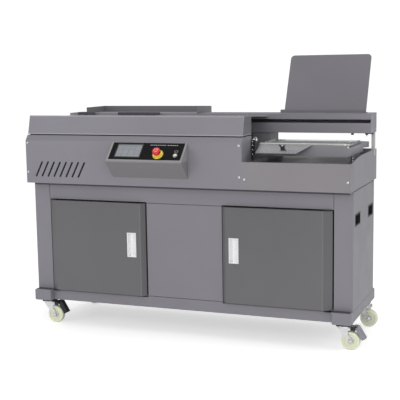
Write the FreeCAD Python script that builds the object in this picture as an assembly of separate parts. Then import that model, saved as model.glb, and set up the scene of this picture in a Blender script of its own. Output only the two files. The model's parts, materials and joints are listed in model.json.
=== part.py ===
"""Perfect-binding machine on a two-door storage cabinet, built as separate pieces.

Everything is measured from the cabinet's left end (X), its front face (Y, positive to the
rear) and the floor (Z), in millimetres.  export() then shifts each piece so that the row's
origin lies on the floor under the middle of the whole machine's bounding box.
"""
import FreeCAD, Part
import math
import os

V = FreeCAD.Vector

# ---- driving dimensions -------------------------------------------------------------
LENGTH = 1420.0              # cabinet and upper body, left end to right end
CABINET_DEPTH = 408.0
SHEET = 2.0                  # folded steel sheet
DOOR_SHEET = 1.5
RUNNING_GAP = 0.05           # radial clearance of every shaft in its bore
FULL_TURN = 360.0
ARC_STEPS = 8                # straight pieces in a drawn curve
NEAR = 0.1                   # how close an edge's middle must lie to a named line
ALONG_AXIS = 0.9             # an edge runs along an axis above this cosine

# cabinet
BEAM_WIDTH = 78.0            # skid beams under the two ends, front to rear
BEAM_PROUD = 1.0
BEAM_OVERHANG = 31.0
BEAM_BOTTOM = 114.0
BEAM_TOP = 162.5
BEAM_SHEET = 2.5
BEAM_ROUND = 6.0
RAIL_DEPTH = 24.0
BOTTOM_RAIL_TOP = 157.0
TOP_RAIL_BOTTOM = 567.0
CABINET_TOP = 641.0
POST_WIDTH = 76.0
CENTRE_LEFT = 539.0
CENTRE_RIGHT = 876.0
CENTRE_FLANGE = 15.0
BACK_INSET = 2.0

# doors: outline of the folded pan, seen from above, and its height
DOOR_FACE_Y = -17.0
DOOR_BACK_Y = 10.0
DOOR_BOTTOM = 163.0
DOOR_TOP = 562.0
LEFT_DOOR_EDGES = (79.0, 107.0, 515.0, 532.0)       # edge, face start, face end, edge
RIGHT_DOOR_EDGES = (879.0, 896.0, 1303.0, 1338.0)
LEFT_HINGE_X = 97.0
RIGHT_HINGE_X = 1320.0
DOOR_HINGE_Y = -5.0
PIVOT_RADIUS = 2.5
PIVOT_TAB = 3.0
PIVOT_TAB_WIDTH = 25.0
PIVOT_TAB_FRONT = -12.0
PIVOT_TAB_REAR = 22.0
PIVOT_PIN_LENGTH = 12.0
PULL_WIDTH = 42.0
PULL_HEIGHT = 105.0
PULL_BOTTOM = 331.0
PULL_FLANGE = 1.2
PULL_RIM = 2.2
PULL_SCOOP_RADIUS = 16.5
PULL_BODY_DEPTH = 18.2
LEFT_PULL_X = 452.5
RIGHT_PULL_X = 911.0
FIT_GAP = 0.2                # between a pressed-in piece and its cut-out

# side cup handles
CUP_BOTTOM = 497.0
CUP_HEIGHT = 50.0
CUP_LENGTH = 96.0
CUP_STARTS = (31.0, 285.0)
CUP_RIM = 4.0
CUP_DEPTH = 26.0
CUP_WALL = 2.0
CUP_FLANGE = 1.0
CUP_ROUND = 9.0

# upper body
BODY_LEFT = -5.5             # the body stands a little proud of the cabinet's left side
BODY_FRONT = -53.0
BODY_BACK = 457.0
BODY_BEND = 825.0            # the front panel turns back here
BODY_TOP = 848.0
BODY_TOP_FRONT = -34.0
BODY_LIP_END = -14.0
BODY_RIGHT = 982.0           # end of the covered part
PASSAGE_FRONT = 74.0         # the carriage leaves the covered part behind this line
DECK = 3.0
VENT_COUNT = 8
VENT_PITCH = 29.3
VENT_WIDTH = 5.0
VENT_FOOT = (43.0, 673.0)
VENT_HEAD = (73.0, 732.0)

# open loading tray at the right
TRAY_TOP = 751.0
TRAY_SIDE_TOP = 770.0
TRAY_SIDE_RISE_END = 180.0
TRAY_LIP_END = -38.0
TRAY_FLOOR = 745.0

# cover table with its guides
TABLE_LEFT = 1022.0
TABLE_RIGHT = 1390.0
TABLE_FRONT = 60.0
TABLE_REAR = 318.0
TABLE_TOP = 815.0
TABLE_APRON_BOTTOM = 769.0
TABLE_EDGE_RADIUS = 6.0
TABLE_SHEET = 3.0
TABLE_CORNER = 22.0
TABLE_BEAD_RADIUS = 6.0      # rolled bead along the front edge and round the corner
TABLE_BEAD_END = 130.0
TABLE_BEAD_TOP = 820.5
TABLE_RIBS = (1040.0, 1376.0)
TABLE_RIB_FRONT = 90.0
TABLE_RIB_REAR = 315.0
TONGUE_LEFT = 1373.0         # box that carries the table's right end back to the rear
TONGUE_FRONT = 283.0
TONGUE_REAR = 445.0
TONGUE_ROOT = (784.0, 812.0)  # its height under the table and at its rear end
TONGUE_END = (776.5, 801.0)
GUIDE_FOOT_Y = 0.0
GUIDE_FOOT_Z = 781.5
GUIDE_HEAD_Z = 813.0
GUIDE_FOOT_RIGHT = 1189.0
GUIDE_HEAD_RIGHT = 1243.0
GUIDE_SHEET = 2.5
NIP_LEFT = 1060.0            # the nip plates lie flush in the table, on two ledges
NIP_RIGHT = 1370.0
NIP_WIDTH = 21.0
NIP_THICK = 8.0
NIP_GAP = 32.0
NIP_BEVEL = 2.5
NIP_SIDE_GAP = 0.5
NIP_FRONT_ROOM = 2.0
NIP_LEDGE = 6.0
BOOK_LINE = 281.0            # every station works on this line, front to rear
SIDE_GUIDE_X = 1040.0
SIDE_GUIDE_FRONT = 76.0
SIDE_GUIDE_REAR = 216.0
SIDE_GUIDE_HEIGHT = 9.0
SIDE_GUIDE_FOOT = 18.0
KNOB_X = 1126.0
KNOB_ALONG = 0.42            # place of the knob on the sloping guide, from head to foot
KNOB_HUB_RADIUS = 9.0
KNOB_HUB_TAPER = 0.8
KNOB_HUB_HEIGHT = 10.0
KNOB_WING_LENGTH = 28.0
KNOB_WING_HEIGHT = 13.0
KNOB_WING_THICK = 5.0
KNOB_WING_ROOT = 0.5         # share of the wing's half length that stands on the hub
KNOB_DIP_ALONG = 0.35        # the dip between the two wings, along and up
KNOB_DIP_UP = 0.55
KNOB_PIN_RADIUS = 3.0

# rear housing with the carriage drive
HOUSING_LEFT = 5.0
HOUSING_FRONT = 332.0
HOUSING_BACK = 450.0
HOUSING_BOTTOM = 843.0
HOUSING_TOP = 925.0
SLOT_LEFT = 100.0
SLOT_RIGHT = LENGTH - SHEET
SLOT_BOTTOM = 885.5
SLOT_TOP = 900.5
PEDESTAL_LEFT = 900.0
PEDESTAL_RIGHT = 984.0
PEDESTAL_INSET = 6.0
PEDESTAL_ROUND = 4.0
POST_SIDE = 14.0
SUPPORT_POST_X = 1408.0
SUPPORT_POST_Y = 403.0
RAIL_RADIUS = 8.0
RAIL_Y = 425.0
RAIL_HEIGHTS = (862.0, 906.0)
SCREW_RADIUS = 10.0
SCREW_CORE_RADIUS = 7.0
SCREW_Y = 365.0
SCREW_Z = 868.0
SCREW_START = 92.0
SCREW_END = 1408.0
SCREW_COLLAR_PITCH = 40.0
SCREW_COLLAR_WIDTH = 20.0
SCREW_MOTOR_INSET = 10.0

# carriage and book clamp, parked at the left
CLAMP_LEFT = 60.0
CLAMP_RIGHT = 400.0
CLAMP_BOTTOM = 826.0
CLAMP_TOP = 900.0
CLAMP_REAR_FACE = 312.0
CLAMP_THICK = 14.0
CLAMP_OPEN = 62.0
CLAMP_RIB = 6.0
CLAMP_RIB_BAND = (850.0, 880.0)
BLOCK_LEFT = 120.0
BLOCK_RIGHT = 380.0
BLOCK_FRONT = 345.0
BLOCK_BACK = 442.0
BLOCK_BOTTOM = 850.0
BLOCK_TOP = 920.0
ARM_BOTTOM = 887.0
ARM_TOP = 898.0
ARM_WIDTH = 40.0
ARM_STARTS = (140.0, 320.0)
ROD_RADIUS = 6.0
ROD_Z = 868.0
ROD_XS = (69.0, 391.0)
ROD_END = 226.0

# book rest and paper tray on top of the housing
REST_LEFT = 1029.0
REST_RIGHT = 1386.0
REST_BAR_LEFT = 1014.0
REST_BASE_Y = 390.0
REST_BAR_TOP = 939.0
REST_HEIGHT = 273.0
REST_TILT = 25.0
REST_SHEET = 3.0
REST_CORNER = 17.0
REST_FOOT_FRONT = 378.0
REST_FOOT_REAR = 424.0
REST_BAR_DEPTH = 14.0
PAPER_LEFT = 99.0
PAPER_RIGHT = 650.0
PAPER_FRONT = 317.0
PAPER_REAR = 498.0
PAPER_FLOOR = 905.0          # trough behind the housing
PAPER_RIM = 951.0

# top cover
COVER_LEFT = -1.5
COVER_BOTTOM = 852.0
COVER_FOOT_Y = -36.0
COVER_CREST_Y = -16.0
COVER_CREST_Z = 931.0
COVER_REAR_Y = 300.0
COVER_REAR_Z = 914.0
COVER_REAR_HEM = 10.0
HINGE_Y = 307.0
HINGE_Z = 908.0
HINGE_PIN_RADIUS = 2.5
HINGE_KNUCKLE_RADIUS = 5.0
HINGE_KNUCKLE_LENGTH = 40.0
HINGE_STARTS = (120.0, 470.0, 822.0)
HINGE_EAR = 4.0
HINGE_SIDE_GAP = 0.5
HINGE_STRIP_FRONT = 314.0

# control console
CONSOLE_LEFT = 414.0
CONSOLE_RIGHT = 751.0
CONSOLE_TOP = 824.0
CONSOLE_REACH = 68.0
CONSOLE_LIP_TOP = 755.0
CONSOLE_LIP_BOTTOM = 747.0
CONSOLE_FOOT = 676.5
PANEL_ALONG = (10.0, 330.0)  # panel outline on the sloping face: along X, then down the slope
PANEL_DOWN = (3.5, 91.5)
PANEL_THICK = 1.5
SCREEN_ALONG = (36.0, 147.0)
SCREEN_DOWN = (14.0, 80.0)
SCREEN_BACK = 6.0
SCREEN_PROUD = 0.8
ESTOP_AT = (227.0, 65.0)
ESTOP_COLLAR_RADIUS = 23.0
ESTOP_COLLAR_HEIGHT = 6.0
ESTOP_STEM_RADIUS = 8.0
ESTOP_HEAD_RADIUS = 17.0
ESTOP_HEAD_START = 18.0
ESTOP_SKIRT_RADIUS = 13.0
ESTOP_SKIRT_START = 12.5
ESTOP_HEAD_HEIGHT = 13.0
ESTOP_HEAD_ROUND = 6.0
ESTOP_STEM_DEPTH = 18.0
START_AT = (303.0, 68.0)
START_RADIUS = 7.0
START_PROUD = 4.0
START_DEPTH = 12.0
START_ROUND = 1.0

# milling, gluing and control gear inside the body
CUTTER_X = 620.0
CUTTER_RADIUS = 80.0
CUTTER_TOP = 812.0
CUTTER_THICK = 12.0
CUTTER_SHAFT_RADIUS = 10.0
CUTTER_TEETH = 12
TOOTH_START = 68.0
TOOTH_WIDTH = 8.0
TOOTH_PROUD = 4.0
MOTOR_RADIUS = 60.0
MOTOR_TOP = 785.0
TANK_LEFT = 700.0
TANK_RIGHT = 880.0
TANK_FRONT = 217.0
TANK_REAR = 345.0
TANK_BOTTOM = 730.0
TANK_TOP = 800.0
TANK_WALL = 4.0
TANK_LEG = 20.0
ROLLER_X = 790.0
ROLLER_Z = 778.0
ROLLER_RADIUS = 34.0
ROLLER_JOURNAL_RADIUS = 6.0
ROLLER_SIDE_GAP = 6.0
ROLLER_JOURNAL_PROUD = 5.0
GEARMOTOR_SIZE = 70.0
GEARMOTOR_BODY = 84.0
GEARMOTOR_BARREL = 30.0
ELECTRONICS = ((30.0, 20.0), (300.0, 190.0), 790.0)
ELECTRONICS_FINS = 9
FIN_THICK = 4.0
FIN_HEIGHT = 12.0

# casters
CASTER_XS = (38.0, 1379.0)
CASTER_YS = (38.0, 400.0)
WHEEL_RADIUS = 37.5
WHEEL_WIDTH = 24.0
HUB_WIDTH = 26.0
HUB_RADIUS = 13.0
WHEEL_DISH = 4.0
TREAD_ROUND = 5.0
TRAIL = 27.0
AXLE_RADIUS = 4.0
AXLE_HEAD_RADIUS = 7.2
AXLE_NUT_RADIUS = 6.8
FORK_GAP = 13.5
FORK_SHEET = 3.0
FORK_CROWN_RADIUS = 29.0
FORK_CROWN_BOTTOM = 90.0
FORK_CROWN_TOP = 98.0
FORK_LEG_LEAD = 27.0         # the leg's top reaches this far ahead of the swivel axis
FORK_LEG_TAIL = 38.0         # and this far behind it
FORK_LEG_REAR = 17.0         # rear edge of the leg below that ear
FORK_LEAD_DROP = 6.0
FORK_TAIL_DROP = 16.0
FORK_BOSS = 13.0
CASTER_PLATE = 62.0
CASTER_PLATE_THICK = 3.0
RACE_RADIUS = 22.0
RACE_GAP = 0.5
KINGPIN_RADIUS = 5.0
KINGPIN_BOTTOM = 84.0
PEDAL_PIVOT = (34.0, 88.0)   # behind the swivel axis, above the floor
PEDAL_SHOULDER = (44.0, 99.0)
PEDAL_KNEE = (57.0, 98.0)
PEDAL_TOE = (86.0, 50.0)
PEDAL_WIDTH = 26.0
PEDAL_FLANGE_DEPTH = 15.0
PEDAL_FLANGE_SHEET = 1.5
PEDAL_ARM_WIDTH = 18.0
PEDAL_PIN_RADIUS = 2.0
PEDAL_EYE_RADIUS = 4.0

# panel screws: (x, z) on the front, (x, z) on the back
FRONT_SCREWS = ((3.0, 815.0), (3.0, 689.0), (970.0, 816.0), (971.0, 690.0), (992.6, 682.0),
                (1409.0, 682.0))
BACK_SCREWS = ((20.0, 820.0), (20.0, 670.0), (495.0, 820.0), (495.0, 670.0), (960.0, 820.0),
               (960.0, 670.0), (1400.0, 670.0), (1400.0, 745.0))
SCREW_HEAD_RADIUS = 4.5
SCREW_HEAD_HEIGHT = 2.4
SCREW_HEAD_ROUND = 1.4

# ---- values that follow from them ---------------------------------------------------
NIP_FRONT = BOOK_LINE - NIP_GAP / 2 - NIP_WIDTH
NIP_REAR = BOOK_LINE + NIP_GAP / 2
REST_REAR = (REST_BASE_Y + REST_HEIGHT * math.sin(math.radians(REST_TILT))
             + REST_SHEET * math.cos(math.radians(REST_TILT)))
CONSOLE_ANGLE = math.atan2(CONSOLE_TOP - CONSOLE_LIP_TOP, CONSOLE_REACH)
ESTOP_RIM_DOWN = ESTOP_AT[1] + ESTOP_HEAD_RADIUS - ESTOP_HEAD_ROUND
ESTOP_RIM_OUT = PANEL_THICK + ESTOP_HEAD_START - SHEET + ESTOP_HEAD_HEIGHT - ESTOP_HEAD_ROUND
MACHINE_FRONT = (BODY_FRONT - ESTOP_RIM_DOWN * math.cos(CONSOLE_ANGLE)
                 - ESTOP_RIM_OUT * math.sin(CONSOLE_ANGLE) - ESTOP_HEAD_ROUND)
PEDAL_SLOPE = math.atan2(PEDAL_KNEE[1] - PEDAL_TOE[1], PEDAL_TOE[0] - PEDAL_KNEE[0])
MACHINE_RIGHT = CASTER_XS[1] + PEDAL_TOE[0] + FORK_SHEET * math.sin(PEDAL_SLOPE)
ORIGIN = V((MACHINE_RIGHT + BODY_LEFT) / 2, (MACHINE_FRONT + REST_REAR) / 2, 0)


# ---- helpers ------------------------------------------------------------------------
def box(x0, x1, y0, y1, z0, z1):
    """Block between two corners."""
    return Part.makeBox(x1 - x0, y1 - y0, z1 - z0, V(x0, y0, z0))


def rod(radius, start, end):
    """Round bar from one point to another."""
    along = end - start
    return Part.makeCylinder(radius, along.Length, start, along)


def join(shapes):
    """One solid out of overlapping or touching ones."""
    shapes = list(shapes)
    return shapes[0].multiFuse(shapes[1:]).removeSplitter() if len(shapes) > 1 else shapes[0]


def prism(points, axis, start, end):
    """Closed outline extruded along X, Y or Z.  Points are (y, z), (x, z) or (x, y)."""
    place = {"X": lambda a, b: V(start, a, b),
             "Y": lambda a, b: V(a, start, b),
             "Z": lambda a, b: V(a, b, start)}[axis]
    along = {"X": V(end - start, 0, 0), "Y": V(0, end - start, 0), "Z": V(0, 0, end - start)}[axis]
    corners = [place(a, b) for a, b in points]
    return Part.Face(Part.makePolygon(corners + corners[:1])).extrude(along)


def strip(points, thickness):
    """Outline of a folded sheet: the open line and its offset to the right of travel."""
    def side(a, b):
        length = math.hypot(b[0] - a[0], b[1] - a[1])
        return ((b[1] - a[1]) / length, -(b[0] - a[0]) / length)

    normals = [side(a, b) for a, b in zip(points, points[1:])]
    offset = []
    for index, (x, y) in enumerate(points):
        before = normals[max(index - 1, 0)]
        after = normals[min(index, len(normals) - 1)]
        mitre = 1 + before[0] * after[0] + before[1] * after[1]
        offset.append((x + thickness * (before[0] + after[0]) / mitre,
                       y + thickness * (before[1] + after[1]) / mitre))
    return list(points) + offset[::-1]


def far_side(points, thickness):
    """The other side of a folded sheet, in the same order as the drawn line."""
    return strip(points, thickness)[len(points):][::-1]


def tube(x0, x1, y0, y1, z0, z1, wall, axis):
    """Rectangular tube, open at both ends of the given axis."""
    inset = {"X": (0, wall, wall), "Y": (wall, 0, wall), "Z": (wall, wall, 0)}[axis]
    bore = box(x0 + inset[0], x1 - inset[0], y0 + inset[1], y1 - inset[1],
               z0 + inset[2], z1 - inset[2])
    return box(x0, x1, y0, y1, z0, z1).cut(bore)


def edges_at(shape, x=None, y=None, z=None):
    """Edges whose middle has the given coordinates."""
    found = []
    for edge in shape.Edges:
        middle = edge.CenterOfMass
        pairs = ((middle.x, x), (middle.y, y), (middle.z, z))
        if all(place is None or abs(value - place) < NEAR for value, place in pairs):
            found.append(edge)
    return found


def edges_along(shape, axis):
    """Straight edges that run along the given unit vector."""
    return [edge for edge in shape.Edges
            if abs(edge.tangentAt(edge.FirstParameter).dot(axis)) > ALONG_AXIS]


def mirrored(shape):
    """The same piece at the other end of the cabinet."""
    return shape.mirror(V(LENGTH / 2, 0, 0), V(1, 0, 0))


def export(name, *solids):
    """Write one node's solids in the row's own frame."""
    shape = Part.makeCompound(list(solids)) if len(solids) > 1 else solids[0]
    moved = shape.copy()
    moved.translate(ORIGIN * -1)
    moved.exportStep(os.path.join("parts", name + ".step"))


# ---- cabinet ------------------------------------------------------------------------
def side_beam():
    """Folded skid, closed at its ends and open on the inner side between the two rails."""
    rear = CABINET_DEPTH + BEAM_OVERHANG
    outside = box(-BEAM_PROUD, BEAM_WIDTH - BEAM_PROUD, -BEAM_OVERHANG, rear, BEAM_BOTTOM, BEAM_TOP)
    long_edges = [edge for edge in edges_along(outside, V(0, 1, 0)) if edge.CenterOfMass.x < 0]
    outside = outside.makeFillet(BEAM_ROUND, long_edges)
    inner = BEAM_WIDTH - BEAM_PROUD
    bottom = BEAM_BOTTOM + BEAM_SHEET
    top = BEAM_TOP - BEAM_SHEET
    hollow = box(BEAM_SHEET - BEAM_PROUD, inner - BEAM_SHEET, BEAM_SHEET - BEAM_OVERHANG,
                 rear - BEAM_SHEET, bottom, top)
    opening = box(inner - 2 * BEAM_SHEET, inner + BEAM_SHEET, 0, CABINET_DEPTH, bottom, top)
    return outside.cut(hollow).cut(opening)


def corner_posts():
    """Four upright tubes behind the front and rear edges of the side panels."""
    posts = []
    for front in (0.0, CABINET_DEPTH - RAIL_DEPTH):
        post = tube(SHEET, POST_WIDTH, front, front + RAIL_DEPTH, BEAM_TOP, CABINET_TOP, SHEET, "Z")
        posts += [post, mirrored(post)]
    return posts


def cabinet_rails():
    """Two tubes under the doors and two above them."""
    rails = []
    inner = BEAM_WIDTH - BEAM_PROUD
    for front in (0.0, CABINET_DEPTH - RAIL_DEPTH):
        back = front + RAIL_DEPTH
        rails.append(tube(inner, LENGTH - inner, front, back, BEAM_BOTTOM, BOTTOM_RAIL_TOP,
                          SHEET, "X"))
        rails.append(tube(POST_WIDTH, LENGTH - POST_WIDTH, front, back, TOP_RAIL_BOTTOM,
                          CABINET_TOP, SHEET, "X"))
    return rails


def centre_panel():
    """Fixed panel between the doors, with its two edges folded back."""
    outline = strip([(CENTRE_RIGHT, CENTRE_FLANGE), (CENTRE_RIGHT, 0.0), (CENTRE_LEFT, 0.0),
                     (CENTRE_LEFT, CENTRE_FLANGE)], SHEET)
    return prism(outline, "Z", BOTTOM_RAIL_TOP, TOP_RAIL_BOTTOM)


def cabinet_liners():
    """Floor, back and the two partitions behind the centre panel."""
    back = CABINET_DEPTH - BACK_INSET
    inner = BEAM_WIDTH - BEAM_PROUD
    floor_top = BOTTOM_RAIL_TOP + SHEET
    floor = box(inner, LENGTH - inner, RAIL_DEPTH + SHEET, back - SHEET, BOTTOM_RAIL_TOP, floor_top)
    rear = box(inner, LENGTH - inner, back - SHEET, back, BOTTOM_RAIL_TOP, TOP_RAIL_BOTTOM)
    left = box(CENTRE_LEFT + SHEET, CENTRE_LEFT + 2 * SHEET, RAIL_DEPTH + SHEET, back - SHEET,
               floor_top, TOP_RAIL_BOTTOM)
    right = box(CENTRE_RIGHT - 2 * SHEET, CENTRE_RIGHT - SHEET, RAIL_DEPTH + SHEET, back - SHEET,
                floor_top, TOP_RAIL_BOTTOM)
    return [floor, rear, left, right]


def side_panel():
    """End panel with an opening for each cup handle."""
    panel = box(0, SHEET, 0, CABINET_DEPTH, BEAM_TOP, CABINET_TOP)
    inset = CUP_RIM - FIT_GAP
    for start in CUP_STARTS:
        opening = box(-SHEET, 2 * SHEET, start + inset, start + CUP_LENGTH - inset,
                      CUP_BOTTOM + inset, CUP_BOTTOM + CUP_HEIGHT - inset)
        panel = panel.cut(opening)
    return panel


def cup_handle(start):
    """Recessed hand grip: a flange outside, a rounded cup inside."""
    end = start + CUP_LENGTH
    top = CUP_BOTTOM + CUP_HEIGHT
    flange = box(-CUP_FLANGE, 0, start, end, CUP_BOTTOM, top)
    cup = box(0, CUP_DEPTH, start + CUP_RIM, end - CUP_RIM, CUP_BOTTOM + CUP_RIM, top - CUP_RIM)
    inset = CUP_RIM + CUP_WALL
    hollow = box(-CUP_FLANGE, CUP_DEPTH - CUP_WALL, start + inset, end - inset,
                 CUP_BOTTOM + inset, top - inset)
    hollow = hollow.makeFillet(CUP_ROUND, edges_along(hollow, V(1, 0, 0)))
    return join([flange, cup]).cut(hollow)


# ---- doors --------------------------------------------------------------------------
def pivot_tab(x, z0, z1, pin_start, pin_end):
    """Tab on the frame with the pin that a door turns on."""
    tab = box(x - PIVOT_TAB_WIDTH / 2, x + PIVOT_TAB_WIDTH / 2, PIVOT_TAB_FRONT, PIVOT_TAB_REAR,
              z0, z1)
    pin = rod(PIVOT_RADIUS, V(x, DOOR_HINGE_Y, pin_start), V(x, DOOR_HINGE_Y, pin_end))
    return join([tab, pin])


def door_pivots():
    """A lower and an upper pivot for each door."""
    tabs = []
    for x in (LEFT_HINGE_X, RIGHT_HINGE_X):
        low = BOTTOM_RAIL_TOP + PIVOT_TAB
        high = TOP_RAIL_BOTTOM - PIVOT_TAB
        tabs.append(pivot_tab(x, BOTTOM_RAIL_TOP, low, BOTTOM_RAIL_TOP, low + PIVOT_PIN_LENGTH))
        tabs.append(pivot_tab(x, high, TOP_RAIL_BOTTOM, high - PIVOT_PIN_LENGTH, TOP_RAIL_BOTTOM))
    return tabs


def door(edges, hinge_x, pull_x):
    """Pan-shaped door: flat face, sloping sides, open back, holes for the pivots and the pull."""
    edge_a, face_a, face_b, edge_b = edges
    outline = [(edge_a, DOOR_BACK_Y), (edge_a, 0.0), (face_a, DOOR_FACE_Y), (face_b, DOOR_FACE_Y),
               (edge_b, 0.0), (edge_b, DOOR_BACK_Y)]
    inner = far_side(outline, -DOOR_SHEET)
    rear = [(x, DOOR_BACK_Y + SHEET) for x in (inner[-1][0], inner[0][0])]
    hollow = prism(inner + rear, "Z", DOOR_BOTTOM + DOOR_SHEET, DOOR_TOP - DOOR_SHEET)
    pan = prism(outline, "Z", DOOR_BOTTOM, DOOR_TOP).cut(hollow)
    pivot = rod(PIVOT_RADIUS + RUNNING_GAP, V(hinge_x, DOOR_HINGE_Y, DOOR_BOTTOM - SHEET),
                V(hinge_x, DOOR_HINGE_Y, DOOR_TOP + SHEET))
    inset = PULL_RIM - FIT_GAP
    opening = box(pull_x + inset, pull_x + PULL_WIDTH - inset, DOOR_FACE_Y - SHEET,
                  DOOR_FACE_Y + SHEET, PULL_BOTTOM + inset, PULL_BOTTOM + PULL_HEIGHT - inset)
    return pan.cut(pivot).cut(opening)


def door_pull(pull_x):
    """Flush pull: a rectangular rim and a half-round finger scoop."""
    top = PULL_BOTTOM + PULL_HEIGHT
    rim = box(pull_x, pull_x + PULL_WIDTH, DOOR_FACE_Y - PULL_FLANGE, DOOR_FACE_Y, PULL_BOTTOM, top)
    body = box(pull_x + PULL_RIM, pull_x + PULL_WIDTH - PULL_RIM, DOOR_FACE_Y,
               DOOR_FACE_Y + PULL_BODY_DEPTH, PULL_BOTTOM + PULL_RIM, top - PULL_RIM)
    middle = pull_x + PULL_WIDTH / 2
    axis_y = DOOR_FACE_Y - PULL_FLANGE / 2
    end_wall = 2 * PULL_RIM
    scoop = rod(PULL_SCOOP_RADIUS, V(middle, axis_y, PULL_BOTTOM + end_wall),
                V(middle, axis_y, top - end_wall))
    return join([rim, body]).cut(scoop)


# ---- upper body ---------------------------------------------------------------------
def front_line():
    """Outside line of the body's front panel, from its foot to its top lip, as (y, z)."""
    return [(BODY_FRONT, CABINET_TOP), (BODY_FRONT, BODY_BEND), (BODY_TOP_FRONT, BODY_TOP),
            (BODY_LIP_END, BODY_TOP)]


def vent(index):
    """One slanted slot with round ends, as a cutter through the front panel."""
    shift = index * VENT_PITCH
    foot = V(VENT_FOOT[0] + shift, BODY_FRONT - SHEET, VENT_FOOT[1])
    head = V(VENT_HEAD[0] + shift, BODY_FRONT - SHEET, VENT_HEAD[1])
    across = V(-(head.z - foot.z), 0, head.x - foot.x).normalize() * (VENT_WIDTH / 2)
    sides = [foot + across, head + across, head - across, foot - across]
    through = V(0, 3 * SHEET, 0)
    bar = Part.Face(Part.makePolygon(sides + sides[:1])).extrude(through)
    ends = [Part.makeCylinder(VENT_WIDTH / 2, through.y, point, through) for point in (foot, head)]
    return join([bar] + ends)


def body_front_panel():
    """Front of the covered part: upright, then leaning back, with the row of vents."""
    panel = prism(strip(front_line(), SHEET), "X", BODY_LEFT, BODY_RIGHT)
    for index in range(VENT_COUNT):
        panel = panel.cut(vent(index))
    return panel


def end_panels():
    """Left end, the short inner end wall and the tray's right end."""
    inside = far_side(front_line(), SHEET)
    deck_top = CABINET_TOP + DECK
    back = BODY_BACK - SHEET
    front = [(inside[0][0], deck_top)] + inside[1:] + [(BODY_LIP_END, BODY_TOP)]
    left = prism(front + [(back, BODY_TOP), (back, deck_top)], "X", BODY_LEFT, BODY_LEFT + SHEET)
    inner = prism(front + [(PASSAGE_FRONT, BODY_TOP), (PASSAGE_FRONT, deck_top)], "X",
                  BODY_RIGHT - SHEET, BODY_RIGHT)
    return [left, inner, tray_right_end()]


def tray_right_end():
    """Right end of the tray: its top edge curves up from the front lip; a notch for the post."""
    deck_top = CABINET_TOP + DECK
    back = BODY_BACK - SHEET
    front = BODY_FRONT + SHEET
    under_lip = TRAY_TOP - SHEET
    outline = [(front, deck_top), (front, under_lip), (TRAY_LIP_END, under_lip),
               (TRAY_LIP_END, TRAY_TOP)]
    for step in range(1, ARC_STEPS + 1):
        part = step / ARC_STEPS
        outline.append((TRAY_LIP_END + (TRAY_SIDE_RISE_END - TRAY_LIP_END) * part,
                        TRAY_TOP + (TRAY_SIDE_TOP - TRAY_TOP) * math.sin(part * math.pi / 2)))
    outline += [(back, TRAY_SIDE_TOP), (back, deck_top)]
    notch = box(LENGTH - 2 * SHEET, LENGTH + SHEET, SUPPORT_POST_Y - FIT_GAP,
                SUPPORT_POST_Y + POST_SIDE + FIT_GAP, TRAY_FLOOR, TRAY_SIDE_TOP + SHEET)
    return prism(outline, "X", LENGTH - SHEET, LENGTH).cut(notch)


def body_back_panel():
    """Rear panel, stepped down behind the open tray."""
    outline = [(BODY_LEFT, CABINET_TOP), (LENGTH, CABINET_TOP), (LENGTH, TRAY_SIDE_TOP),
               (BODY_RIGHT, TRAY_SIDE_TOP), (BODY_RIGHT, BODY_TOP), (BODY_LEFT, BODY_TOP)]
    return prism(outline, "Y", BODY_BACK - SHEET, BODY_BACK)


def tray_front_panel():
    """Low front of the loading tray with its folded top lip."""
    line = [(BODY_FRONT, CABINET_TOP), (BODY_FRONT, TRAY_TOP), (TRAY_LIP_END, TRAY_TOP)]
    return prism(strip(line, SHEET), "X", BODY_RIGHT, LENGTH)


def tray_floor():
    """Sheet under the loading table, notched round the pedestal."""
    floor = box(BODY_RIGHT, LENGTH - SHEET, BODY_FRONT + SHEET, BODY_BACK - SHEET,
                TRAY_FLOOR - SHEET, TRAY_FLOOR)
    notch = box(BODY_RIGHT - SHEET, PEDESTAL_RIGHT, HOUSING_FRONT + PEDESTAL_INSET,
                HOUSING_BACK - PEDESTAL_INSET, TRAY_FLOOR - 2 * SHEET, TRAY_FLOOR + SHEET)
    return floor.cut(notch)


# ---- loading station ----------------------------------------------------------------
def cover_table():
    """Table sheet with a rolled front edge and apron, a nip recess, ribs and a rear tongue."""
    top = box(TABLE_LEFT, TABLE_RIGHT, TABLE_FRONT, TABLE_REAR, TABLE_APRON_BOTTOM, TABLE_TOP)
    top = top.makeFillet(TABLE_EDGE_RADIUS, edges_at(top, y=TABLE_FRONT, z=TABLE_TOP))
    top = top.makeFillet(TABLE_CORNER, edges_at(top, x=TABLE_RIGHT, y=TABLE_FRONT))
    inner_front = TABLE_FRONT + TABLE_SHEET
    inner_right = TABLE_RIGHT - TABLE_SHEET
    under_top = TABLE_TOP - TABLE_SHEET
    under = box(TABLE_LEFT - TABLE_SHEET, inner_right, inner_front, TABLE_REAR + TABLE_SHEET,
                TABLE_APRON_BOTTOM - TABLE_SHEET, under_top)
    under = under.makeFillet(TABLE_CORNER - TABLE_SHEET,
                             edges_at(under, x=inner_right, y=inner_front))
    sheet = top.cut(under).cut(nip_recess())
    ribs = [box(x, x + TABLE_SHEET, TABLE_RIB_FRONT, TABLE_RIB_REAR, TRAY_FLOOR, under_top)
            for x in TABLE_RIBS]
    tongue = prism([(TONGUE_FRONT, TONGUE_ROOT[0]), (TABLE_REAR, TONGUE_ROOT[0]),
                    (TONGUE_REAR, TONGUE_END[0]), (TONGUE_REAR, TONGUE_END[1]),
                    (TABLE_REAR, TONGUE_ROOT[1]), (TONGUE_FRONT, TONGUE_ROOT[1])],
                   "X", TONGUE_LEFT, TABLE_RIGHT)
    return join([sheet, table_bead(), tongue] + ribs + nip_ledges())


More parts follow.
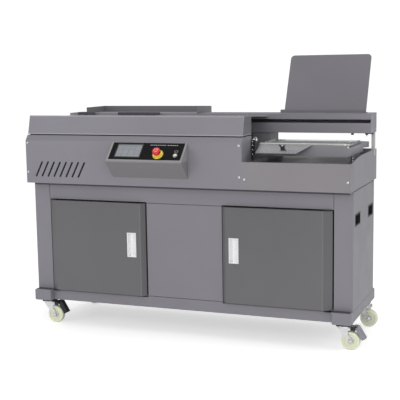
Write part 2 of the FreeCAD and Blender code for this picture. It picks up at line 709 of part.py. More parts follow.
def table_bead():
    """Round bead on the table's front edge, round the corner and a little way to the rear."""
    y = TABLE_FRONT + TABLE_BEAD_RADIUS
    z = TABLE_BEAD_TOP - TABLE_BEAD_RADIUS
    turn_x = TABLE_RIGHT - TABLE_CORNER
    turn_y = TABLE_FRONT + TABLE_CORNER
    side_x = TABLE_RIGHT - TABLE_BEAD_RADIUS
    end = V(side_x, TABLE_BEAD_END, z)
    bar = rod(TABLE_BEAD_RADIUS, V(TABLE_LEFT, y, z), V(turn_x, y, z))
    bend = Part.makeTorus(TABLE_CORNER - TABLE_BEAD_RADIUS, TABLE_BEAD_RADIUS, V(turn_x, turn_y, z))
    bend = bend.common(box(turn_x, TABLE_RIGHT, TABLE_FRONT, turn_y, z - TABLE_BEAD_RADIUS,
                           z + TABLE_BEAD_RADIUS))
    side = rod(TABLE_BEAD_RADIUS, V(side_x, turn_y, z), end)
    return join([bar, bend, side, Part.makeSphere(TABLE_BEAD_RADIUS, end)])


def nip_recess():
    """Room in the table sheet for the two nip plates, open at the rear."""
    return box(NIP_LEFT - NIP_SIDE_GAP, NIP_RIGHT + NIP_SIDE_GAP, NIP_FRONT - NIP_FRONT_ROOM,
               TABLE_REAR + TABLE_SHEET, TABLE_TOP - NIP_THICK, TABLE_TOP + TABLE_SHEET)


def nip_ledges():
    """Two ledges under the ends of the nip plates, each hung from the table sheet."""
    ledges = []
    bottom = TABLE_TOP - NIP_THICK - TABLE_SHEET
    front = NIP_FRONT - NIP_FRONT_ROOM
    for edge, inwards in ((NIP_LEFT - NIP_SIDE_GAP, 1), (NIP_RIGHT + NIP_SIDE_GAP, -1)):
        outer = edge - inwards * NIP_LEDGE
        inner = edge + inwards * NIP_LEDGE
        shelf = box(min(outer, inner), max(outer, inner), front, TABLE_REAR, bottom,
                    TABLE_TOP - NIP_THICK)
        web = box(min(outer, edge), max(outer, edge), front, TABLE_REAR, bottom,
                  TABLE_TOP - TABLE_SHEET)
        ledges += [shelf, web]
    return ledges


def guide_slope():
    """Unit vectors of the sloping guide: down the slope, and out of its face."""
    drop = V(0, GUIDE_FOOT_Y - TABLE_FRONT, GUIDE_FOOT_Z - GUIDE_HEAD_Z)
    down = V(drop).normalize()
    return drop.Length, down, V(0, down.z, -down.y)


def guide_plate():
    """Polished plate that leads the cover up onto the table, with a slanted right edge."""
    length, down, out = guide_slope()
    head = V(0, TABLE_FRONT, GUIDE_HEAD_Z)
    foot = head + down * length
    corners = [V(TABLE_LEFT, head.y, head.z), V(GUIDE_HEAD_RIGHT, head.y, head.z),
               V(GUIDE_FOOT_RIGHT, foot.y, foot.z), V(TABLE_LEFT, foot.y, foot.z)]
    plate = Part.Face(Part.makePolygon(corners + corners[:1])).extrude(out * GUIDE_SHEET)
    behind = box(TABLE_LEFT - SHEET, GUIDE_HEAD_RIGHT + SHEET, TABLE_FRONT, TABLE_FRONT + 4 * SHEET,
                 GUIDE_FOOT_Z, TABLE_TOP + 4 * SHEET)
    centre = knob_centre()
    hole = rod(KNOB_PIN_RADIUS + RUNNING_GAP, centre - out * GUIDE_SHEET,
               centre + out * (2 * GUIDE_SHEET))
    return plate.cut(behind).cut(hole)


def knob_centre():
    """Point on the guide's lower face under the wing knob."""
    length, down, _ = guide_slope()
    return V(KNOB_X, TABLE_FRONT, GUIDE_HEAD_Z) + down * (length * KNOB_ALONG)


def guide_knob():
    """Wing knob that locks the guide, on a pin through the plate."""
    _, down, out = guide_slope()
    seat = knob_centre() + out * GUIDE_SHEET
    hub = Part.makeCone(KNOB_HUB_RADIUS, KNOB_HUB_RADIUS * KNOB_HUB_TAPER, KNOB_HUB_HEIGHT,
                        seat, out)
    pin = rod(KNOB_PIN_RADIUS, knob_centre() - out * GUIDE_SHEET, seat + out * SHEET)
    half = V(KNOB_WING_LENGTH / 2, 0, 0)
    base = seat + out * (2 * SHEET)
    rise = out * KNOB_WING_HEIGHT
    side = down * (KNOB_WING_THICK / 2)
    foot = [base - half * KNOB_WING_ROOT, base + half * KNOB_WING_ROOT]
    tips = [base + half + rise, base + half * KNOB_DIP_ALONG + rise * KNOB_DIP_UP,
            base - half * KNOB_DIP_ALONG + rise * KNOB_DIP_UP, base - half + rise]
    outline = [point - side for point in foot + tips]
    wings = Part.Face(Part.makePolygon(outline + outline[:1])).extrude(side * 2)
    return join([hub, pin, wings])


def nip_plate(front):
    """Bar that presses the cover against the spine, with its inner edge bevelled."""
    bar = box(NIP_LEFT, NIP_RIGHT, front, front + NIP_WIDTH, TABLE_TOP - NIP_THICK, TABLE_TOP)
    inner = front + NIP_WIDTH if front < BOOK_LINE else front
    return bar.makeChamfer(NIP_BEVEL, edges_at(bar, y=inner, z=TABLE_TOP))


def side_guide():
    """Angle that the cover's edge is pushed against."""
    wall = box(SIDE_GUIDE_X, SIDE_GUIDE_X + SHEET, SIDE_GUIDE_FRONT, SIDE_GUIDE_REAR, TABLE_TOP,
               TABLE_TOP + SIDE_GUIDE_HEIGHT)
    foot = box(SIDE_GUIDE_X, SIDE_GUIDE_X + SIDE_GUIDE_FOOT, SIDE_GUIDE_FRONT, SIDE_GUIDE_REAR,
               TABLE_TOP, TABLE_TOP + SHEET)
    return join([wall, foot])


# ---- rear housing and carriage drive ------------------------------------------------
def housing_shell():
    """Long rectangular tube with the carriage's slot in its front."""
    shell = tube(HOUSING_LEFT, LENGTH - SHEET, HOUSING_FRONT, HOUSING_BACK, HOUSING_BOTTOM,
                 HOUSING_TOP, SHEET, "X")
    slot = box(SLOT_LEFT, SLOT_RIGHT, HOUSING_FRONT - SHEET, HOUSING_FRONT + 2 * SHEET,
               SLOT_BOTTOM, SLOT_TOP)
    return shell.cut(slot)


def housing_supports():
    """Left end bracket down to the deck, right end plate and the pedestal at the passage."""
    deck_top = CABINET_TOP + DECK
    left = box(HOUSING_LEFT - SHEET, HOUSING_LEFT, HOUSING_FRONT, HOUSING_BACK, deck_top,
               HOUSING_TOP)
    right = box(LENGTH - SHEET, LENGTH, HOUSING_FRONT, HOUSING_BACK, HOUSING_BOTTOM, HOUSING_TOP)
    front = HOUSING_FRONT + PEDESTAL_INSET
    back = HOUSING_BACK - PEDESTAL_INSET
    pedestal = box(PEDESTAL_LEFT, PEDESTAL_RIGHT, front, back, deck_top, HOUSING_BOTTOM)
    corners = (edges_at(pedestal, x=PEDESTAL_RIGHT, y=front)
               + edges_at(pedestal, x=PEDESTAL_RIGHT, y=back))
    return [left, right, pedestal.makeFillet(PEDESTAL_ROUND, corners)]


def guide_rails():
    """Two ground bars that carry the carriage block."""
    return [rod(RAIL_RADIUS, V(HOUSING_LEFT, RAIL_Y, z), V(LENGTH - SHEET, RAIL_Y, z))
            for z in RAIL_HEIGHTS]


def lead_screw():
    """Drive screw: a core with a raised thread land at each pitch, and plain end journals."""
    core = rod(SCREW_CORE_RADIUS, V(SCREW_START, SCREW_Y, SCREW_Z), V(SCREW_END, SCREW_Y, SCREW_Z))
    lands = []
    start = SCREW_START + SCREW_COLLAR_WIDTH
    while start + SCREW_COLLAR_WIDTH < SCREW_END:
        end = start + SCREW_COLLAR_WIDTH
        lands.append(rod(SCREW_RADIUS, V(start, SCREW_Y, SCREW_Z), V(end, SCREW_Y, SCREW_Z)))
        start += SCREW_COLLAR_PITCH
    return join([core] + lands)


def drive_motors():
    """Screw gearmotor in the housing, roller gearmotor behind the tank and the milling motor."""
    half = GEARMOTOR_SIZE / 2
    deck_top = CABINET_TOP + DECK
    screw_motor = box(HOUSING_LEFT, SCREW_START - SHEET, SCREW_Y - half + SCREW_MOTOR_INSET,
                      SCREW_Y + half, HOUSING_BOTTOM + SHEET, HOUSING_BOTTOM + SHEET + GEARMOTOR_SIZE)
    front = TANK_REAR + 2 * ROLLER_JOURNAL_PROUD
    gearbox = box(ROLLER_X - half, ROLLER_X + half, front, front + half, deck_top, ROLLER_Z + half)
    barrel = rod(GEARMOTOR_BARREL, V(ROLLER_X, front + half, ROLLER_Z),
                 V(ROLLER_X, front + GEARMOTOR_BODY, ROLLER_Z))
    mill = rod(MOTOR_RADIUS, V(CUTTER_X, BOOK_LINE, deck_top), V(CUTTER_X, BOOK_LINE, MOTOR_TOP))
    return [screw_motor, join([gearbox, barrel]), mill]


# ---- carriage and clamp -------------------------------------------------------------
def carriage_block():
    """Bearing block on the rails, with two arms out through the slot."""
    block = box(BLOCK_LEFT, BLOCK_RIGHT, BLOCK_FRONT, BLOCK_BACK, BLOCK_BOTTOM, BLOCK_TOP)
    arms = [box(x, x + ARM_WIDTH, CLAMP_REAR_FACE + CLAMP_THICK, BLOCK_FRONT, ARM_BOTTOM, ARM_TOP)
            for x in ARM_STARTS]
    carriage = join([block] + arms)
    for z in RAIL_HEIGHTS:
        carriage = carriage.cut(rod(RAIL_RADIUS + RUNNING_GAP, V(BLOCK_LEFT - SHEET, RAIL_Y, z),
                                    V(BLOCK_RIGHT + SHEET, RAIL_Y, z)))
    return carriage.cut(rod(SCREW_RADIUS + RUNNING_GAP, V(BLOCK_LEFT - SHEET, SCREW_Y, SCREW_Z),
                            V(BLOCK_RIGHT + SHEET, SCREW_Y, SCREW_Z)))


def clamp_plate(front):
    """One jaw of the book clamp."""
    return box(CLAMP_LEFT, CLAMP_RIGHT, front, front + CLAMP_THICK, CLAMP_BOTTOM, CLAMP_TOP)


def front_clamp_plate():
    """The moving jaw, sliding on the two rods, with a stiffening rib along its front."""
    front = CLAMP_REAR_FACE - CLAMP_OPEN - CLAMP_THICK
    rib = box(CLAMP_LEFT, CLAMP_RIGHT, front - CLAMP_RIB, front, *CLAMP_RIB_BAND)
    jaw = join([clamp_plate(front), rib])
    for x in ROD_XS:
        jaw = jaw.cut(rod(ROD_RADIUS + RUNNING_GAP, V(x, front - 2 * CLAMP_RIB, ROD_Z),
                          V(x, front + 2 * CLAMP_THICK, ROD_Z)))
    return jaw


def clamp_rods():
    """Two rods that the front jaw slides on."""
    return [rod(ROD_RADIUS, V(x, ROD_END, ROD_Z), V(x, CLAMP_REAR_FACE, ROD_Z)) for x in ROD_XS]


# ---- on top of the housing ----------------------------------------------------------
def book_rest():
    """Leaning plate with rounded top corners on its base bar and foot."""
    foot = box(REST_BAR_LEFT, REST_RIGHT, REST_FOOT_FRONT, REST_FOOT_REAR, HOUSING_TOP,
               HOUSING_TOP + REST_SHEET)
    bar = box(REST_BAR_LEFT, REST_RIGHT, REST_BASE_Y - REST_BAR_DEPTH / 2,
              REST_BASE_Y + REST_BAR_DEPTH / 2, HOUSING_TOP, REST_BAR_TOP)
    head = HOUSING_TOP + REST_HEIGHT
    plate = box(REST_LEFT, REST_RIGHT, REST_BASE_Y, REST_BASE_Y + REST_SHEET, HOUSING_TOP, head)
    plate = plate.makeFillet(REST_CORNER, edges_at(plate, x=REST_LEFT, z=head)
                             + edges_at(plate, x=REST_RIGHT, z=head))
    plate.rotate(V(0, REST_BASE_Y, HOUSING_TOP), V(1, 0, 0), -REST_TILT)
    plate = plate.cut(box(REST_LEFT - SHEET, REST_RIGHT + SHEET, 0, LENGTH, 0, HOUSING_TOP))
    return join([foot, bar, plate])


def paper_tray():
    """Tray of three low walls on the housing, with a trough hung behind it."""
    side = [(PAPER_FRONT, HOUSING_TOP), (HOUSING_BACK, HOUSING_TOP), (HOUSING_BACK, PAPER_FLOOR),
            (PAPER_REAR, PAPER_FLOOR), (PAPER_REAR, PAPER_RIM), (PAPER_FRONT, PAPER_RIM)]
    walls = [prism(side, "X", x, x + SHEET) for x in (PAPER_LEFT, PAPER_RIGHT - SHEET)]
    rear = box(PAPER_LEFT, PAPER_RIGHT, PAPER_REAR - SHEET, PAPER_REAR, PAPER_FLOOR, PAPER_RIM)
    floor = box(PAPER_LEFT, PAPER_RIGHT, HOUSING_BACK, PAPER_REAR, PAPER_FLOOR, PAPER_FLOOR + SHEET)
    hem = box(PAPER_LEFT, PAPER_RIGHT, HOUSING_BACK, HOUSING_BACK + SHEET, PAPER_FLOOR, HOUSING_TOP)
    return join([rear, floor, hem] + walls)


# ---- top cover ----------------------------------------------------------------------
def cover_knuckle(start):
    """Barrel on the cover's rear hem, with its web."""
    end = start + HINGE_KNUCKLE_LENGTH
    barrel = rod(HINGE_KNUCKLE_RADIUS, V(start, HINGE_Y, HINGE_Z), V(end, HINGE_Y, HINGE_Z))
    web = box(start, end, COVER_REAR_Y - SHEET, HINGE_Y, HINGE_Z - SHEET, HINGE_Z + SHEET)
    return join([barrel, web])


def top_cover():
    """Lid with a leaning front, a slightly falling top, end walls and hinge knuckles."""
    line = [(COVER_FOOT_Y, COVER_BOTTOM), (COVER_CREST_Y, COVER_CREST_Z), (COVER_REAR_Y, COVER_REAR_Z),
            (COVER_REAR_Y, COVER_REAR_Z - COVER_REAR_HEM)]
    skin = prism(strip(line, SHEET), "X", COVER_LEFT, BODY_RIGHT)
    left_end = prism([line[0], line[1], line[2], (COVER_REAR_Y, COVER_BOTTOM)], "X", COVER_LEFT,
                     COVER_LEFT + SHEET)
    slope = (COVER_REAR_Z - COVER_CREST_Z) / (COVER_REAR_Y - COVER_CREST_Y)
    wall_top = COVER_CREST_Z + slope * (PASSAGE_FRONT - COVER_CREST_Y)
    right_end = prism([line[0], line[1], (PASSAGE_FRONT, wall_top), (PASSAGE_FRONT, COVER_BOTTOM)],
                      "X", BODY_RIGHT - SHEET, BODY_RIGHT)
    lid = join([skin, left_end, right_end] + [cover_knuckle(start) for start in HINGE_STARTS])
    for start in HINGE_STARTS:
        lid = lid.cut(rod(HINGE_PIN_RADIUS + RUNNING_GAP, V(start - SHEET, HINGE_Y, HINGE_Z),
                          V(start + HINGE_KNUCKLE_LENGTH + SHEET, HINGE_Y, HINGE_Z)))
    return lid


def cover_hinges():
    """Long hinge strip on the housing's front with ears and pins for three knuckles."""
    strip_bottom = SLOT_TOP + SHEET / 2
    strip_top = HINGE_Z + 2 * HINGE_EAR
    x0 = HOUSING_LEFT + SHEET
    x1 = BODY_RIGHT - 2 * HINGE_EAR
    leaf = box(x0, x1, HOUSING_FRONT - SHEET, HOUSING_FRONT, strip_bottom, strip_top)
    shelf = box(x0, x1, HINGE_STRIP_FRONT, HOUSING_FRONT, strip_top - SHEET, strip_top)
    pieces = [leaf, shelf]
    for start in HINGE_STARTS:
        left = start - HINGE_SIDE_GAP - HINGE_EAR
        right = start + HINGE_KNUCKLE_LENGTH + HINGE_SIDE_GAP
        for ear in (left, right):
            pieces.append(box(ear, ear + HINGE_EAR, HINGE_Y - HINGE_KNUCKLE_RADIUS + SHEET,
                              HOUSING_FRONT, strip_bottom, strip_top - SHEET))
        pieces.append(rod(HINGE_PIN_RADIUS, V(left, HINGE_Y, HINGE_Z),
                          V(right + HINGE_EAR, HINGE_Y, HINGE_Z)))
    return join(pieces)


# ---- control console ----------------------------------------------------------------
def slope_frame():
    """Placement whose X runs along the console, Y up its slope and Z out of its face."""
    turn = FreeCAD.Rotation(V(1, 0, 0), math.degrees(CONSOLE_ANGLE))
    return FreeCAD.Placement(V(CONSOLE_LEFT, BODY_FRONT, CONSOLE_TOP), turn)


def on_slope(shape):
    """Move a shape drawn flat, with -Y down the slope, onto the console's face."""
    placed = shape.copy()
    placed.Placement = slope_frame().multiply(placed.Placement)
    return placed


def console_line():
    """Section of the console, from its foot round the lip to its top, as (y, z)."""
    front = BODY_FRONT - CONSOLE_REACH
    return [(BODY_FRONT, CONSOLE_FOOT), (front, CONSOLE_LIP_BOTTOM), (front, CONSOLE_LIP_TOP),
            (BODY_FRONT, CONSOLE_TOP)]


def control_box():
    """Wedge-shaped folded box, open towards the body, with holes under the panel's devices."""
    line = console_line()
    inner = far_side(line, SHEET)
    inner[0] = (BODY_FRONT, inner[0][1] + SHEET / 2)
    inner[-1] = (BODY_FRONT, inner[-1][1] - SHEET / 2)
    shell = prism(line, "X", CONSOLE_LEFT, CONSOLE_RIGHT)
    hollow = prism(inner, "X", CONSOLE_LEFT + SHEET, CONSOLE_RIGHT - SHEET)
    shell = shell.cut(hollow)
    for (along, down), radius in ((ESTOP_AT, ESTOP_STEM_RADIUS), (START_AT, START_RADIUS)):
        hole = rod(radius + RUNNING_GAP, V(along, -down, -3 * SHEET), V(along, -down, 2 * SHEET))
        shell = shell.cut(on_slope(hole))
    window = screen_window(-3 * SHEET, SHEET)
    return shell.cut(on_slope(window))


def screen_window(bottom, top, inset=0.0):
    """Block in the outline of the display, drawn flat."""
    return box(SCREEN_ALONG[0] + inset, SCREEN_ALONG[1] - inset, inset - SCREEN_DOWN[1],
               -SCREEN_DOWN[0] - inset, bottom, top)


def control_panel():
    """Thin dark fascia on the slope, with a window and two round holes."""
    plate = box(PANEL_ALONG[0], PANEL_ALONG[1], -PANEL_DOWN[1], -PANEL_DOWN[0], 0.0, PANEL_THICK)
    plate = plate.cut(screen_window(-SHEET, 2 * SHEET))
    for (along, down), radius in ((ESTOP_AT, ESTOP_STEM_RADIUS), (START_AT, START_RADIUS)):
        hole = rod(radius + RUNNING_GAP, V(along, -down, -SHEET), V(along, -down, 2 * SHEET))
        plate = plate.cut(hole)
    return on_slope(plate)


def touch_screen():
    """Flat display unit filling the window and standing just proud of the fascia."""
    return on_slope(screen_window(-SCREEN_BACK, PANEL_THICK + SCREEN_PROUD, FIT_GAP))


def estop_collar():
    """Ring under the emergency stop."""
    along, down = ESTOP_AT
    ring = Part.makeCylinder(ESTOP_COLLAR_RADIUS, ESTOP_COLLAR_HEIGHT, V(along, -down, PANEL_THICK))
    ring = ring.makeFillet(SHEET, edges_at(ring, z=PANEL_THICK + ESTOP_COLLAR_HEIGHT))
    hole = rod(ESTOP_STEM_RADIUS + RUNNING_GAP, V(along, -down, 0),
               V(along, -down, 2 * ESTOP_COLLAR_HEIGHT))
    return on_slope(ring.cut(hole))


def estop_button():
    """Mushroom head over a narrower skirt, on its stem."""
    along, down = ESTOP_AT
    stem = rod(ESTOP_STEM_RADIUS, V(along, -down, -ESTOP_STEM_DEPTH),
               V(along, -down, ESTOP_HEAD_START))
    base = PANEL_THICK + ESTOP_HEAD_START - SHEET
    head = Part.makeCylinder(ESTOP_HEAD_RADIUS, ESTOP_HEAD_HEIGHT, V(along, -down, base))
    head = head.makeFillet(ESTOP_HEAD_ROUND, edges_at(head, z=base + ESTOP_HEAD_HEIGHT))
    skirt = rod(ESTOP_SKIRT_RADIUS, V(along, -down, ESTOP_SKIRT_START), V(along, -down, base))
    return on_slope(join([stem, skirt, head]))


def start_button():
    """Small metal push button."""
    along, down = START_AT
    top = PANEL_THICK + START_PROUD
    cap = rod(START_RADIUS, V(along, -down, -START_DEPTH), V(along, -down, top))
    return on_slope(cap.makeFillet(START_ROUND, edges_at(cap, z=top)))


# ---- milling, gluing and control gear -----------------------------------------------
def milling_cutter():
    """Disc with raised carbide teeth on a short shaft."""
    disc_top = CUTTER_TOP - TOOTH_PROUD
    disc = rod(CUTTER_RADIUS, V(CUTTER_X, BOOK_LINE, CUTTER_TOP - CUTTER_THICK),
               V(CUTTER_X, BOOK_LINE, disc_top))
    shaft = rod(CUTTER_SHAFT_RADIUS, V(CUTTER_X, BOOK_LINE, MOTOR_TOP + RUNNING_GAP),
                V(CUTTER_X, BOOK_LINE, disc_top))
    pieces = [disc, shaft]
    for index in range(CUTTER_TEETH):
        tooth = box(TOOTH_START, CUTTER_RADIUS - SHEET, -TOOTH_WIDTH / 2, TOOTH_WIDTH / 2,
                    disc_top - SHEET, CUTTER_TOP)
        tooth.rotate(V(0, 0, 0), V(0, 0, 1), index * FULL_TURN / CUTTER_TEETH)
        tooth.translate(V(CUTTER_X, BOOK_LINE, 0))
        pieces.append(tooth)
    return join(pieces)


def glue_tank():
    """Open heated trough on four legs, with bores for the roller's journals."""
    trough = box(TANK_LEFT, TANK_RIGHT, TANK_FRONT, TANK_REAR, TANK_BOTTOM, TANK_TOP)
    trough = trough.cut(box(TANK_LEFT + TANK_WALL, TANK_RIGHT - TANK_WALL, TANK_FRONT + TANK_WALL,
                            TANK_REAR - TANK_WALL, TANK_BOTTOM + TANK_WALL, TANK_TOP + TANK_WALL))
    legs = []
    for x in (TANK_LEFT, TANK_RIGHT - TANK_LEG):
        for y in (TANK_FRONT, TANK_REAR - TANK_LEG):
            legs.append(box(x, x + TANK_LEG, y, y + TANK_LEG, CABINET_TOP + DECK, TANK_BOTTOM))
    bore = rod(ROLLER_JOURNAL_RADIUS + RUNNING_GAP, V(ROLLER_X, TANK_FRONT - SHEET, ROLLER_Z),
               V(ROLLER_X, TANK_REAR + SHEET, ROLLER_Z))
    return join([trough] + legs).cut(bore)


def glue_roller():
    """Roller that lifts glue to the book's spine."""
    gap = TANK_WALL + ROLLER_SIDE_GAP
    drum = rod(ROLLER_RADIUS, V(ROLLER_X, TANK_FRONT + gap, ROLLER_Z),
               V(ROLLER_X, TANK_REAR - gap, ROLLER_Z))
    journal = rod(ROLLER_JOURNAL_RADIUS, V(ROLLER_X, TANK_FRONT - ROLLER_JOURNAL_PROUD, ROLLER_Z),
                  V(ROLLER_X, TANK_REAR + ROLLER_JOURNAL_PROUD, ROLLER_Z))
    return join([drum, journal])


def electronics_box():
    """Power supply and controller case with cooling fins."""
    (x0, y0), (x1, y1), top = ELECTRONICS
    pieces = [box(x0, x1, y0, y1, CABINET_TOP + DECK, top)]
    pitch = (x1 - x0) / ELECTRONICS_FINS
    for index in range(ELECTRONICS_FINS):
        start = x0 + index * pitch
        pieces.append(box(start, start + FIN_THICK, y0, y1, top, top + FIN_HEIGHT))
    return join(pieces)


# ---- casters ------------------------------------------------------------------------
def caster_plate(x, y):
    """Bolted plate with the upper race and the kingpin."""
    half = CASTER_PLATE / 2
    bottom = BEAM_BOTTOM - CASTER_PLATE_THICK
    plate = box(x - half, x + half, y - half, y + half, bottom, BEAM_BOTTOM)
    race = rod(RACE_RADIUS, V(x, y, FORK_CROWN_TOP + RACE_GAP), V(x, y, bottom))
    pin = rod(KINGPIN_RADIUS, V(x, y, KINGPIN_BOTTOM), V(x, y, bottom))
    return join([plate, race, pin])


def leg_outline(x):
    """Side view of one fork leg, from the crown down round the axle."""
    axle_x = x + TRAIL
    top = FORK_CROWN_TOP - SHEET
    lead = x - FORK_LEG_LEAD
    tail = x + FORK_LEG_TAIL
    rear = x + FORK_LEG_REAR
    points = [(lead, top), (lead, top - FORK_LEAD_DROP)]
    for step in range(3 * ARC_STEPS + 1):
        angle = math.pi * (1 + step / (2 * ARC_STEPS))
        points.append((axle_x + FORK_BOSS * math.cos(angle),
                       WHEEL_RADIUS + FORK_BOSS * math.sin(angle)))
    return points + [(rear, WHEEL_RADIUS + 2 * FORK_BOSS), (rear, top - FORK_TAIL_DROP),
                     (tail, top - FORK_TAIL_DROP), (tail, top)]


def axle_rod(radius, axle_x, start, end):
    """Round piece on a wheel's axle line, between two places front to rear."""
    return rod(radius, V(axle_x, start, WHEEL_RADIUS), V(axle_x, end, WHEEL_RADIUS))


def fork(x, y, braked):
    """Swivel fork and, as its own solid, the axle bolt with head and nut."""
    axle_x = x + TRAIL
    reach = FORK_GAP + FORK_SHEET
    pieces = [rod(FORK_CROWN_RADIUS, V(x, y, FORK_CROWN_BOTTOM), V(x, y, FORK_CROWN_TOP))]
    for side in (y - reach, y + FORK_GAP):
        pieces.append(prism(leg_outline(x), "Y", side, side + FORK_SHEET))
    pin_bore = rod(KINGPIN_RADIUS + RUNNING_GAP, V(x, y, FORK_CROWN_BOTTOM - SHEET),
                   V(x, y, FORK_CROWN_TOP + SHEET))
    frame = join(pieces).cut(pin_bore)
    frame = frame.cut(axle_rod(AXLE_RADIUS, axle_x, y - 2 * reach, y + 2 * reach))
    if braked:
        pin_x = x + PEDAL_PIVOT[0]
        frame = frame.cut(rod(PEDAL_PIN_RADIUS + RUNNING_GAP, V(pin_x, y - 2 * reach, PEDAL_PIVOT[1]),
                              V(pin_x, y + 2 * reach, PEDAL_PIVOT[1])))
    shank = axle_rod(AXLE_RADIUS, axle_x, y - reach, y + reach)
    head = axle_rod(AXLE_HEAD_RADIUS, axle_x, y - reach - FORK_SHEET, y - reach)
    nut = axle_rod(AXLE_NUT_RADIUS, axle_x, y + reach, y + reach + FORK_SHEET)
    return [frame, join([shank, head, nut])]


def wheel(x, y):
    """Moulded wheel: rounded tread, dished sides and a bored hub."""
    axle_x = x + TRAIL
    half = WHEEL_WIDTH / 2
    tyre = axle_rod(WHEEL_RADIUS, axle_x, y - half, y + half)
    tyre = tyre.makeFillet(TREAD_ROUND, edges_at(tyre, y=y - half) + edges_at(tyre, y=y + half))
    for side in (-1, 1):
        dish = axle_rod(WHEEL_RADIUS - 2 * TREAD_ROUND, axle_x, y + side * (half - WHEEL_DISH),
                        y + side * (half + SHEET))
        tyre = tyre.cut(dish)
    hub = axle_rod(HUB_RADIUS, axle_x, y - HUB_WIDTH / 2, y + HUB_WIDTH / 2)
    bore = axle_rod(AXLE_RADIUS + RUNNING_GAP, axle_x, y - HUB_WIDTH, y + HUB_WIDTH)
    return join([tyre, hub]).cut(bore)


def brake_pedal(x, y):
    """Channel-shaped foot pedal on a pin through the fork's legs, sloping down behind the wheel."""
    shoulder = (x + PEDAL_SHOULDER[0], PEDAL_SHOULDER[1])
    knee = (x + PEDAL_KNEE[0], PEDAL_KNEE[1])
    toe = (x + PEDAL_TOE[0], PEDAL_TOE[1])
    pivot = (x + PEDAL_PIVOT[0], PEDAL_PIVOT[1])
    tread = prism(strip([knee, toe], -FORK_SHEET), "Y", y - PEDAL_WIDTH / 2, y + PEDAL_WIDTH / 2)
    near = y - PEDAL_ARM_WIDTH / 2
    far = y + PEDAL_ARM_WIDTH / 2
    link = prism(strip([pivot, shoulder, knee, toe], -FORK_SHEET), "Y", near, far)
    eye = rod(PEDAL_EYE_RADIUS, V(pivot[0], near, pivot[1]), V(pivot[0], far, pivot[1]))
    reach = FORK_GAP + FORK_SHEET
    pin = rod(PEDAL_PIN_RADIUS, V(pivot[0], y - reach, pivot[1]), V(pivot[0], y + reach, pivot[1]))
    half = PEDAL_WIDTH / 2
    flanges = [prism(strip([knee, toe], PEDAL_FLANGE_DEPTH), "Y", start, start + PEDAL_FLANGE_SHEET)
               for start in (y - half, y + half - PEDAL_FLANGE_SHEET)]
    return join([link, tread, eye, pin] + flanges)


# ---- fasteners ----------------------------------------------------------------------
def screw_head(x, y, z, direction):
    """Pan head with a rounded rim, standing on a panel."""
    top = y + direction * SCREW_HEAD_HEIGHT
    head = rod(SCREW_HEAD_RADIUS, V(x, y, z), V(x, top, z))
    return head.makeFillet(SCREW_HEAD_ROUND, edges_at(head, y=top))


def panel_screws():
    """Bright screws that hold the body panels."""
    front = [screw_head(x, BODY_FRONT, z, -1) for x, z in FRONT_SCREWS]
    return front + [screw_head(x, BODY_BACK, z, 1) for x, z in BACK_SCREWS]


def build():
    """Write every node of the machine."""
    os.makedirs("parts", exist_ok=True)
    left_beam = side_beam()
    left_side = side_panel()
    left_cups = [cup_handle(start) for start in CUP_STARTS]
    deck = box(BODY_LEFT, LENGTH, BODY_FRONT + SHEET, BODY_BACK - SHEET, CABINET_TOP,
               CABINET_TOP + DECK)
    post = box(SUPPORT_POST_X, SUPPORT_POST_X + POST_SIDE, SUPPORT_POST_Y,
               SUPPORT_POST_Y + POST_SIDE, TRAY_FLOOR, HOUSING_BOTTOM)

    export("side_beams", left_beam, mirrored(left_beam))
    export("corner_posts", *corner_posts())
    export("cabinet_rails", *cabinet_rails())
    export("centre_panel", centre_panel())
    export("cabinet_liners", *cabinet_liners())
    export("side_panels", left_side, mirrored(left_side))
    export("cup_handles", *left_cups, *[mirrored(cup) for cup in left_cups])
    export("door_pivots", *door_pivots())
    export("left_door", door(LEFT_DOOR_EDGES, LEFT_HINGE_X, LEFT_PULL_X))
    export("right_door", door(RIGHT_DOOR_EDGES, RIGHT_HINGE_X, RIGHT_PULL_X))
    export("left_door_pull", door_pull(LEFT_PULL_X))
    export("right_door_pull", door_pull(RIGHT_PULL_X))
    export("deck_plate", deck)
    export("body_front_panel", body_front_panel())
    export("end_panels", *end_panels())
    export("body_back_panel", body_back_panel())
    export("tray_front_panel", tray_front_panel())
    export("tray_floor", tray_floor())
    export("cover_table", cover_table())
    export("guide_plate", guide_plate())
    export("guide_knob", guide_knob())
    export("nip_plate_front", nip_plate(NIP_FRONT))
    export("nip_plate_rear", nip_plate(NIP_REAR))
    export("side_guide", side_guide())
    export("housing_shell", housing_shell())
    export("housing_supports", *housing_supports())
    export("support_post", post)
    export("guide_rails", *guide_rails())
    export("lead_screw", lead_screw())
    export("drive_motors", *drive_motors())
    export("carriage_block", carriage_block())
    export("rear_clamp_plate", clamp_plate(CLAMP_REAR_FACE))
    export("front_clamp_plate", front_clamp_plate())
    export("clamp_rods", *clamp_rods())
    export("book_rest", book_rest())
    export("paper_tray", paper_tray())
    export("top_cover", top_cover())
    export("cover_hinges", cover_hinges())
    export("control_box", control_box())
    export("control_panel", control_panel())
    export("touch_screen", touch_screen())
    export("estop_collar", estop_collar())
    export("estop_button", estop_button())
    export("start_button", start_button())
    export("milling_cutter", milling_cutter())
    export("glue_tank", glue_tank())
    export("glue_roller", glue_roller())
    export("electronics_box", electronics_box())
    export("panel_screws", *panel_screws())
    export("caster_plates", *[caster_plate(x, y) for x in CASTER_XS for y in CASTER_YS])
    for end, x in zip(("left", "right"), CASTER_XS):
        for face, y in zip(("front", "rear"), CASTER_YS):
            export(f"fork_{face}_{end}", *fork(x, y, face == "front"))
            export(f"wheel_{face}_{end}", wheel(x, y))
        export(f"brake_pedal_{end}", brake_pedal(x, CASTER_YS[0]))


build()
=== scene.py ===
"""Looks of the perfect-binding machine: a finish for every CAD piece and the small parts that dress it.

Lengths are metres in the CAD model's own frame.  spot() turns millimetres measured from the
cabinet's left end, its front face and the floor into that frame.
"""
import json
import math

import bmesh
import bpy
from mathutils import Matrix, Vector


